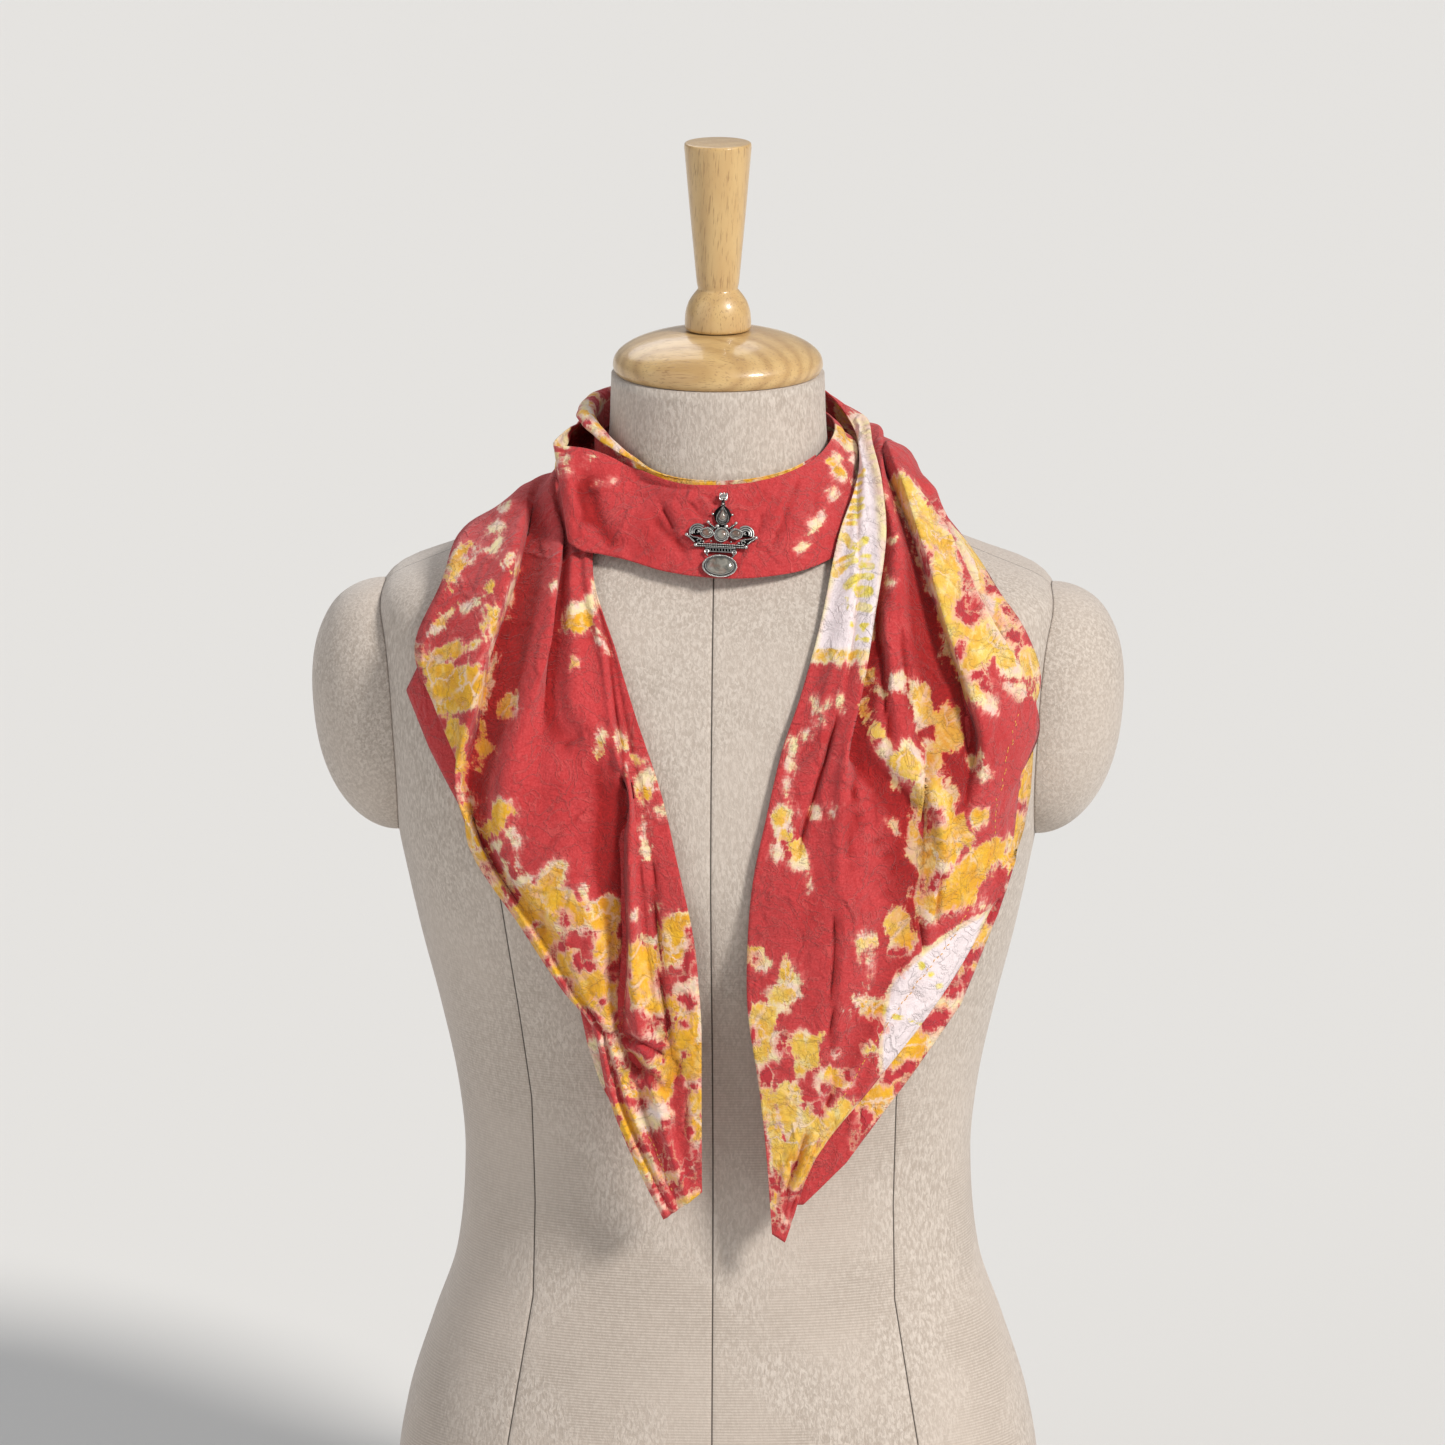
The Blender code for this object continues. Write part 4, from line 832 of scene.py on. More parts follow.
# The dye's strokes are in mm as seen from the front: across, up, radius, across, up, radius.
under_gold = [
    (173.8, 486.8, 1.7, 173.8, 482.3), (171.6, 474.9, 3.3, 171.6, 467), (166.7, 454.6, 2.8, 166.7, 450.1),
    (162.3, 442.2, 2.8, 162.3, 429.8), (146.9, 386.3, 3.9, 146.9, 384.1), (144.1, 376.7, 2.8, 143, 376.7),
    (137.5, 364.9, 3.3), (115.5, 329.3, 2.8, 113.3, 329.3), (105.6, 315.8, 3.9, 103.4, 315.8),
    (95.7, 300.5, 3.9, 93.5, 300.5), (87.5, 291.5, 4.4, 84.2, 291.5), (83.8, 280.7, 1.9, 74.7, 267.3),
    (178.8, 502, 2.8, 178.8, 491.9), (141.4, 369.9, 2.2),
    (174.9, 491.3, 5, 168.3, 454.6, 6.1, 162.8, 423.6),
    (152.9, 391.4, 6.6, 144.1, 375.6, 6.6, 136.4, 363.2, 6.1),
    (107.8, 321.4, 7.2, 97.9, 306.7, 7.2, 82.5, 287.5, 6.6), (125.4, 342.8, 3.3, 115.5, 330.4, 3.9),
]
under_pale = [
    (156.8, 412.3, 2.8, 156.8, 408.9), (168.3, 460.3, 1.7, 166.1, 460.3), (128.7, 348.5, 5),
    (111.7, 323.7, 3.9, 110.6, 323.7), (117.2, 330.4, 3.3, 115, 330.4), (79.2, 280.8, 3.3),
    (137.5, 364.3, 3.9, 137.5, 362), (-64.9, 323.7, 6.6, -64.9, 314.6), (-62.7, 307.8, 3.9, -62.7, 302.2),
    (-56.1, 321.4, 3.3, -56.1, 305.6), (163.9, 426.4, 2.2), (96.4, 294.4, 1.1, 87.4, 300.9),
    (161.7, 419.6, 5.5, 155.1, 404.9), (133.1, 353, 6.1, 124.3, 341.7, 6.6),
    (119.9, 333.8, 6.1, 110, 322.5, 6.6),
]
under_red = [
    (169.2, 455.7, 1.3, 165.2, 455.7), (159, 417.9, 3.3, 157.9, 417.9),
    (157.3, 402.7, 4.4, 150.7, 395.9, 5), (144.1, 373.9, 2.2, 136.4, 369.9, 2.8),
    (139.7, 360.9, 3.3, 128.7, 353, 5), (126.5, 339.5, 2.8, 116.6, 334.9, 4.4),
    (106.7, 310.1, 2.8, 95.7, 303.3, 3.9), (77, 276.4, 6.6, 71.6, 269.3), (65.8, 259.9, 5, 59.7, 251.9),
    (-59.9, 325.2, 0.7, -59.9, 310.8),
]
form_skin = skin_of(form_body)
pad_skins = {word: skin_of(pad) for word, pad in pads.items()}


under_rows, under_columns, under_off, under_clear = 170, 44, 1.5, 1.1


def under_layer(word, table):
    at = np.linspace(0, len(table) - 1, under_rows)
    rows, outer, inner = (np.interp(at, np.arange(len(table)), column)[:, None] for column in table.T)
    x = outer + (inner - outer) * np.linspace(0, 1, under_columns)
    height = np.broadcast_to(rows, x.shape)
    ripple = 0.35 * np.sin(x * 0.21 + height * 0.09) * np.sin(height * 0.13) + 0.35
    points = lies_at(x, height, under_off + ripple)
    points = laid_on(points, [form_skin, pad_skins[word]], clear=under_clear)
    return scarf_sheet(
        "scarf_second_layer_" + word, points, dye_marks(as_seen(points), under_gold, under_pale, under_red),
        ["scarf_under_" + word], wall=thin_wall,
    )


under_left = under_layer("left", left_under)
under_right = under_layer("right", right_under)

# The left tail and the first pass behind the neck: the front layer of the folded square,
# gathered by hand, held where the band and the second pass press it against the neck.
left_gold = [
    (-138.1, 604.2, 2.8, -145.7, 591.8), (-141.6, 595, 3.9, -146.6, 586.2),
    (-147.1, 579.9, 1.9, -147.1, 578.8), (-124.8, 580.5, 1.7, -124.8, 576),
    (-114.4, 595.7, 1.7, -113.3, 589), (-154, 563, 3.3, -154, 561.9), (-124.8, 565.2, 4.4, -125.9, 557.4),
    (-146.3, 571.2, 0.8, -146.3, 557),
    (-165, 544.9, 2.2, -160.6, 539.3, 3.3, -149.6, 542.1, 4.4, -144.6, 544.9, 5),
    (-142.4, 544.9, 1.7, -130.9, 550, 1.1), (-150.7, 528, 10.5, -150.7, 525.7),
    (-137.5, 527.4, 9.4, -137.5, 519.5), (-149.6, 514.4, 5.5, -149.6, 512.2),
    (-145.5, 499.7, 6.1, -144.9, 496.4), (-142.9, 485.1, 3.3, -142, 478.3),
    (-141.4, 478.6, 0.8, -140.2, 464.5), (-139.6, 453.8, 4.4, -135.3, 436.2),
    (-130.7, 428, 5, -128.8, 420.3), (-116.6, 515.6, 3.3, -116.6, 509.9), (-127.6, 488.5, 4.4),
    (-130.3, 503.4, 1.4, -130.3, 490.5), (-130.9, 484, 2.2, -130.9, 477.2),
    (-118.8, 456.2, 5, -119.9, 451.9), (-125.4, 446.1, 4.4, -125.4, 443.9),
    (-113.8, 453.5, 1.7, -113.8, 452.4), (-74.3, 560.5, 5.5, -77.5, 559.9),
    (-79.7, 539.8, 1.1, -79.7, 536.5), (-64.3, 491.9, 2.2, -64.3, 487.3), (-53, 493.5, 2.2, -52.6, 491.3),
    (-47.4, 485, 1.4, -44.9, 480.6), (-39.6, 465.3, 3.9, -39.6, 464.2), (-89.1, 419.6, 4.4, -90.2, 419.6),
    (-132.5, 422.4, 5, -131.5, 416.8), (-122.1, 417.4, 4.4), (-121.5, 407.2, 5),
    (-106.7, 408.3, 3.3, -108.9, 408.3), (-91.8, 417.4, 4.4, -91.8, 415.1),
    (-94.6, 401.5, 11, -101.2, 401.5), (-78.6, 401.5, 5, -78.6, 393.6), (-62.7, 395.3, 8.2, -62.7, 393.1),
    (-110.3, 397.1, 6.6, -107.5, 393.6), (-94, 380.1, 10.5), (-85.2, 368.8, 9.4),
    (-62.7, 378.4, 7.2, -62.7, 375), (-71.5, 357.2, 11, -69.3, 353.3), (-62.7, 341.2, 8.2),
    (-57.2, 357, 3.9, -57.2, 349.1), (-57.2, 333.2, 4.4, -58.3, 333.2), (-53.9, 325.9, 2.8, -53.9, 321.4),
    (-41.2, 372.2, 7.7, -41.2, 351.9), (-35.2, 342.8, 4.4, -37.4, 342.8), (-24.2, 387.4, 7.7, -24.2, 373.9),
    (-17.6, 394.2, 3.9, -19.8, 394.2), (-25.8, 346.8, 4.4, -28, 346.8), (-17.6, 342.3, 7.2, -17.6, 325.3),
    (-25.8, 324.8, 5.5, -25.8, 306.7), (-34.6, 312, 5, -45.6, 317.2), (-52, 306.7, 5, -52, 302.2),
    (-29.5, 294.6, 5.5, -37.5, 298.5), (-42.9, 294.3, 3.3, -51.7, 294.3), (-52.5, 286.4, 4.4, -46.5, 269.4),
    (-11.5, 295.4, 5, -11.5, 285.3), (-12.1, 279.6, 3.9, -12.1, 271.7), (-13.2, 320.3, 5.5, -13.2, 306.7),
    (-43.1, 261.2, 3.9, -39.4, 251.8), (-34.6, 245.8, 4.4, -34.6, 244.6), (-27.7, 259.7, 2.8, -25, 248.7),
    (-24.2, 246.3, 3.3, -24.2, 244.1), (-15.9, 252.4, 2.2, -14.8, 250.4), (-11.5, 235.6, 4.4, -11.5, 234.5),
    (-17.6, 235.5, 1.7, -23, 234.5),
]
left_pale_and_highlights = [
    (-117.1, 627.2, 1.7, -118.2, 625.2), (-121.5, 613.2, 3.3, -121.5, 612.1),
    (-120.6, 605.7, 2.2, -122.5, 600.4), (-132.4, 601.7, 1.4, -136, 595.4),
    (-113.6, 581.8, 1.9, -115.1, 571.2), (-115, 570.8, 1.1, -117, 563.1),
    (-133.4, 570.7, 1.9, -139.3, 566.5), (-90.5, 581.3, 1.4, -90.5, 580.2),
    (-153.4, 556.2, 3.3, -155.6, 556.2), (-137.5, 541.3, 1.4, -137.5, 539.6),
    # The first stroke on the next line, a thin pale line down the left edge of a fold, is a painted highlight
    # on that edge.
    (-123.7, 550.6, 0.7, -124.3, 532.5, 0.6, -128.7, 509.9, 0.4), (-137.2, 466.9, 1.7, -135.6, 459.2),
    (-141.9, 474.9, 1.1, -140.7, 461.4), (-68.7, 584.8, 1.7, -65.4, 572.8), (-74.3, 567, 5.5, -77.4, 565.8),
    (-70.9, 573.1, 2.8, -72, 573.1), (-69.3, 555.1, 1.7, -63.8, 548.9, 1.1, -61, 543.8, 0.6),
    (-64.3, 496.9, 2.2, -64.3, 489), (-53.9, 495.2, 3.3, -52.8, 490.8), (-39.6, 472.1, 5, -39.6, 467.6),
    (-32.4, 465.9, 2.2, -36.8, 465.9), (-31.1, 455.4, 2.5, -30.5, 453.8), (-41.8, 451.3, 1, -41.8, 445.5),
    (-110.5, 435.7, 2.5, -110.5, 432.9), (-110.5, 433.2, 1.1, -110.5, 421.9),
    (-114.4, 442.5, 1.4, -114.4, 440.8), (-120.5, 434.6, 2.2, -121.5, 435.1),
    (-50.6, 480.9, 0.8, -50.6, 475.8), (-115.5, 426.4, 1.1, -115.5, 403.8),
    (-106.7, 412.8, 4.4, -108.9, 412.8), (-134.7, 515.6, 3.3), (-46.2, 397.6, 1.7, -46.2, 395.3),
    (-33.5, 381.2, 2.2, -39, 381.2), (-34.6, 399.9, 2.2), (-16.5, 354.1, 6.6, -18.7, 354.1),
    (-26.1, 363.7, 1.1, -25.6, 362.7), (-17.6, 366, 1.1, -17.6, 364.9), (-11, 336.1, 3.3, -11, 313.5),
    (-34.6, 328.7, 6.1, -34.6, 327.6), (-28.4, 316.3, 2.8, -35.4, 319.7), (-32.4, 282, 8.2, -36.9, 285.2),
    (-38.7, 278.4, 6.1, -40.5, 279.7), (-62.7, 377.8, 7.7), (-83.6, 407.2, 1.1, -83.6, 386.9),
    (-73.7, 411.1, 1.1, -73.7, 390.8), (-66, 385.7, 1.1, -74.8, 385.7), (-9.4, 300.4, 2.8, -14.8, 299.5),
    (-31.3, 234.5, 4.4), (-19.2, 231.6, 3.3, -23.6, 231.6), (-11.5, 266.6, 1.7, -11.5, 258.7),
    (-42.3, 261.6, 1.7, -43.4, 261.6), (-62.1, 325.3, 2.8, -62.1, 324.2), (-84.2, 654.4, 0.7, -89.5, 654.4),
    # The first stroke on the next line, a thin pale line from (-41.2, 459.6) down to (-39, 427), is a painted
    # highlight along a crease.
    (-41.2, 459.6, 0.6, -39, 427), (-48.9, 314.6, 2.2, -52.2, 314.6), (-42.9, 303.3, 1.7),
    (-17.6, 423.5, 0.6, -15.3, 406.7),
]
left_red = [
    (-161.2, 545.1, 1.7, -162.2, 544.7), (-126.5, 415.7, 1.7), (-125.9, 422.4, 1.1, -125.9, 421.3),
    (-83.6, 394.8, 1.1, -83.6, 390.3), (-82.6, 381.8, 2.5, -84.5, 378.4), (-71.8, 382.6, 2.5, -71.1, 378.7),
    (-73.7, 369.9, 3.3, -74.8, 369.9), (-55, 363.2, 4.4, -55, 362), (-104, 384.3, 1.2, -105.5, 384.3),
    (-92.9, 369.4, 1.4, -92.9, 368.2), (-81.7, 354.5, 1.4, -84.3, 355.5), (-62.7, 346.2, 1.1, -62.7, 345.1),
    (-66.2, 335.8, 1.4, -72.3, 339.7), (-58.7, 326.3, 1.1, -62.3, 328.9), (-117.1, 398.9, 1.7, -115, 396.3),
    (-55, 339.5, 1.1, -55, 337.2), (-42.3, 334.9, 4.4, -42.3, 331.6), (-34.1, 335.5, 1.1),
    (-12.5, 385.1, 2.8, -13.9, 368.3), (-19.3, 362.6, 3.3, -31.3, 356.9), (-28.6, 354.1, 2.2, -28.6, 351.9),
    (-15.9, 346.8, 2.8, -17, 346.8), (-18.1, 335.5, 1.1, -18.1, 333.2),
    (-53.3, 327, 1.7, -42.3, 321.4, 3.3, -34.6, 318, 1.7), (-27, 322.5, 1.1, -33.5, 321.4),
    (-37.4, 315.8, 0.8), (-36.8, 312.6, 0.8, -36.8, 312.1), (-50.1, 311.8, 1.2, -51, 311.8),
    (-41.2, 302.8, 5), (-58, 305.8, 1.9, -59.6, 294.1), (-42.3, 289.2, 1.9, -42.3, 288.1),
    (-19.8, 287, 2.8, -19.8, 281.3), (-22.8, 274.5, 6.6, -23.9, 274.5), (-30.6, 263.6, 2.5, -42, 265.2),
    (-12.1, 258.4, 5, -23.1, 263.6), (-8.7, 260.7, 2.8, -13.2, 244.4), (-32.1, 263.2, 2.2, -30.6, 254.3),
    (-22, 239.7, 2.8, -35.1, 241.6), (-16.5, 245.8, 4.4, -16.5, 244.6), (-24.8, 228.8, 2.2, -25.7, 225.5),
    (-8.7, 299.8, 1, -13.2, 299), (-28, 235.6, 1.1, -30.2, 235.6), (-22.4, 258.1, 3.3, -21.6, 256),
]
left_creases = [  # height, width, places seen from the front that it runs through
    (-1.3, 1.4, [(-70.4, 595.7), (-68.2, 577.1), (-60.5, 545.5), (-56.1, 507.1), (-52.8, 483.4),
        (-50, 460.3), (-48.4, 426.4)]),
    (0.8, 1.5, [(-71.5, 577.1), (-63.8, 545.5), (-59.4, 507.1), (-55.5, 483.4), (-52.8, 460.3)]),
    (-1, 1.2, [(-64.9, 573.1), (-57.2, 539.3), (-52.8, 515), (-46.2, 480.6), (-41.2, 457.4),
        (-37.4, 420.7)]),
    (-3, 2.2, [(-53.3, 453.5), (-51.7, 426.4), (-51.1, 397.6), (-50.6, 380.1), (-51.7, 362), (-53.3, 343.4),
        (-53.9, 328.7)]),
    (1, 2, [(-48.4, 432), (-47.8, 397.6), (-47.3, 380.1), (-48.4, 358.6), (-50, 340.6)]),
    (-2, 1.5, [(-37.4, 437.7), (-35.7, 426.4), (-34.1, 397.6), (-32.4, 374.5), (-30.8, 351.3),
        (-27.5, 334.4), (-25.8, 316.9), (-24.2, 304.5)]),
    (0.9, 1.6, [(-39.6, 432), (-37.4, 401), (-35.7, 375.6), (-34.1, 353), (-31.3, 336.1)]),
    (-2.4, 1.8, [(-52.8, 328.2), (-45.1, 323.7), (-35.7, 318), (-27.5, 314.6)]),
    (1.4, 1.8, [(-51.7, 323.1), (-42.9, 319.1), (-34.6, 314.6), (-27.5, 310.1)]),
    (-2.6, 2.6, [(-51.7, 319.1), (-43.4, 310.1), (-36.3, 303.3), (-29.7, 294.3)]),
    (1.2, 2, [(-52.8, 313.5), (-46.2, 305.6), (-39.6, 297.7)]),
    (-1.2, 1, [(-40.1, 336.6), (-34.1, 330.4), (-26.4, 322)]),
    (-1, 0.9, [(-38.5, 341.7), (-31.9, 334.9), (-27.5, 328.2)]),
    (-1.4, 1.2, [(-23.1, 314.6), (-20.9, 307.8), (-24.2, 301.1)]),
    (-1.2, 1.2, [(-58.3, 334.9), (-55, 330.4), (-59.9, 327), (-63.2, 330.4)]),
    (0.9, 1.2, [(-67.1, 337.2), (-60.5, 333.8), (-56.1, 337.2)]),
    (-0.8, 1, [(-55, 307.8), (-52.8, 302.2), (-53.9, 296.6)]),
    (-0.7, 0.8, [(-99, 427.5), (-90.7, 437.7), (-80.3, 449), (-69.3, 456.9)]),
    (-0.7, 0.7, [(-86.9, 487.3), (-78.6, 495.3), (-69.3, 502)]),
    (-0.5, 0.8, [(-92.9, 421.9), (-81.4, 432), (-71.5, 440.5)]),
    (0.35, 0.7, [(-107.8, 427.5), (-96.2, 442.2)]),
    (-0.6, 0.8, [(-80.8, 451.8), (-76.4, 440.5), (-72.6, 430.9)]),
    (-0.7, 0.9, [(-102.8, 403.2), (-91.3, 415.1), (-79.2, 426.4)]),
    (-0.9, 1, [(-97.3, 399.3), (-96.2, 391.4), (-95.1, 384.1)]),
    (-0.8, 0.9, [(-147.9, 520.7), (-145.7, 514.4)]),
    (-0.9, 1, [(-160.6, 534.8), (-155.1, 540.4), (-149.6, 544.4)]),
    (0.6, 0.9, [(-158.4, 533.1), (-151.8, 538.2), (-146.3, 541.5)]),
    (-0.5, 1.2, [(-64.9, 522.3), (-66, 482.8), (-63.2, 443.3), (-64.9, 415.1)]),
    (0.4, 1.6, [(-74.2, 522.3), (-73.1, 482.8), (-70.4, 449)]),
    (-0.6, 1, [(-118.2, 612.7), (-108.9, 629.6), (-100.1, 640.9)]),
    (0.6, 1.6, [(-136.4, 587.3), (-119.9, 618.3), (-103.4, 642)]),
    (-0.7, 1.4, [(-130.9, 581.6), (-116, 612.7), (-99, 637.5)]),
    (-0.9, 1.6, [(-42.9, 293.7), (-39.6, 280.8), (-34.6, 268.3)]),
    (-0.5, 1, [(-34.6, 254.2), (-27.5, 240.1)]), (0.5, 1.2, [(-15.4, 296.6), (-14.3, 274), (-15.4, 251.4)]),
    (-0.7, 1.2, [(-17.6, 305), (-16.5, 288.1), (-18.7, 268.3)]),
    (-0.6, 1, [(-106.7, 561.9), (-110, 528), (-115.5, 494.1)]),
    (-0.4, 1.2, [(-9.9, 358.6), (-11, 330.4), (-8.8, 296.6)]),
]
nape_gold = [  # along the cloth from where the front can't be seen, and across it from its upper edge
    (30, -20, 9, 44, -34, 5), (78, -60, 8, 90, -52, 9), (130, -18, 7, 136, -30, 10),
    (170, -50, 6, 196, -44, 4), (236, -22, 8, 240, -40, 6), (262, -58, 7, 270, -52, 6),
]
nape_pale = [
    (36, -8, 3, 60, -14, 2), (100, -34, 3, 118, -50, 2), (152, -62, 5, 170, -56, 3),
    (206, -12, 4, 222, -18, 3),
]
nape_red = [(40, -30, 3, 44, -32), (84, -52, 2, 90, -56), (238, -30, 3, 240, -34)]
whole_run = left_tail + nape_inner + band + nape_outer + right_tail
left_steps = [9, 7, 12, 13, 13, 8, 8, 9]
band_first = len(left_tail) + len(nape_inner)
left_points, left_ways, left_places, left_hollow_shade = strip_of(whole_run, left_steps, 1.5, 0, band_first)
left_nape_row, left_front_row = 12.2, 12.5  # where the nape's dye starts, and the front's creases end
dye_change = 0.6  # rows over which the front's dye gives way to the nape's
crease_strength, crease_shade = 1.8, 0.22


def dyed(points, places, first, last, gold, pale, red):
    """Depths inside the dye's patches, and the few painted highlights listed with them, by front-view places
    and, from row to row, by the nape's lengths.
    """
    seen, unrolled = as_seen(points), threads_of(points)[..., ::-1] / MM
    unrolled = unrolled - (unrolled[places >= first][0, 0, 0], 0)
    share = np.clip((places - first) / dye_change, 0, 1) * np.clip((last - places) / dye_change, 0, 1)
    share = share[:, None]
    front, back = dye_marks(seen, gold, pale, red), dye_marks(unrolled, nape_gold, nape_pale, nape_red)
    return {mark: front[mark] * (1 - share) + back[mark] * share for mark in front}, seen


left_marks, _ = dyed(left_points, left_places, left_nape_row, len(whole_run), left_gold, left_pale_and_highlights, left_red)
left_points = laid_on(left_points, [form_skin, pad_skins["left"], skin_of(under_left)], left_ways)
front = (left_places < left_front_row)[:, None]
creases = crease_height(as_seen(left_points), left_creases) * front * crease_strength
left_points = left_points + left_ways * creases[..., None]
# Painted shade in the hollows between folds, deepened along the creases' troughs and lessened on their ridges.
left_marks["hollow_shade"] = np.clip(left_hollow_shade * front - creases * crease_shade, 0, 1)
left_stretch = scarf_sheet(
    "scarf_left_stretch", left_points, left_marks, ["scarf_tail_left", "scarf_nape_inner"]
)

# The layer folded inside the band: its golden edge shows as a thin line above the band,
# and rolls outward where it rises round the left of the neck.
inner_fold_rows = np.array([  # angle, foot radius, foot height, top radius, top height, roll
    (58, 64.6, 653, 63.6, 661, 0.0), (38, 64.3, 650, 63.5, 656, 0.0), (14, 64.0, 648, 63.5, 652.8, 0.0),
    (-10, 64.0, 648, 63.5, 652.8, 0.0), (-30, 64.3, 649, 63.7, 655.6, 0.3), (-45, 65.0, 652, 64.4, 662, 1.6),
    (-62, 66.0, 653, 65.4, 668.5, 3.6), (-80, 66.8, 656, 67.0, 674.5, 4.6), (-100, 67.5, 659, 67.6, 678, 4.4),
    (-118, 68.0, 664, 68.2, 680.5, 3.2), (-134, 68.5, 668, 69.0, 682.0, 1.6),
])
inner_gold = [  # along the edge, up from its top, radius
    (16, -2, 5, 46, -2), (66, -2, 4, 74, -2), (80, -2, 4, 110, 0), (113, 3, 3, 120, 4),
    (128, 7, 3, 134, 9), (140, 2, 3, 147, 6, 4), (154, 1, 3, 160, 3), (162, 9, 3, 168, 10),
    (174, 4, 3, 180, 3, 4), (188, 6, 4, 198, 5),
]
inner_pale = [(14, -2, 6, 48, -2), (63, -2, 5, 112, 0), (112, 4, 6, 150, 5, 7.5, 202, 6)]
inner_red = [
    (120, -1, 2, 124, 0), (134, 0, 2, 138, 2), (150, 9, 1.5, 153, 11), (169, 0, 2, 172, 2), (184, 2, 2, 185, 6),
    (208, 5, 9, 230, 5),
]
roll_turn, roll_least = math.radians(165), 0.15
rows = through(inner_fold_rows, np.linspace(0, len(inner_fold_rows) - 1, 190))
turn, foot_radius, foot_height, top_radius, top_height, roll = (rows[:, k:k + 1] for k in range(6))
angle, roll = np.radians(turn), roll + roll_least
up, bend = np.linspace(0, 1, 10), roll_turn * np.linspace(0, 1, 18)[1:]
radius = np.hstack([foot_radius + (top_radius - foot_radius) * up, top_radius + roll * (1 - np.cos(bend))])
height = np.hstack([foot_height + (top_height - foot_height) * up, top_height + roll * np.sin(bend)])
wave = (0.25 * np.sin(turn * 0.5) + 0.3 * np.sin(turn * 0.21)) * np.linspace(0, 1, radius.shape[1])
radius = radius + wave * (roll > 1)
points = np.stack([radius * np.sin(angle), -radius * np.cos(angle), height], axis=-1)[:, ::-1]
past_top = np.hstack([(top_height - foot_height) * (up - 1), roll * bend])[:, ::-1]
edge = np.stack([threads_of(points)[..., 1] / MM, past_top], axis=-1)
inner_fold = scarf_sheet(
    "scarf_inner_layer", points, dye_marks(edge, inner_gold, inner_pale, inner_red),
    ["scarf_inner_fold"], wall=thin_wall,
)

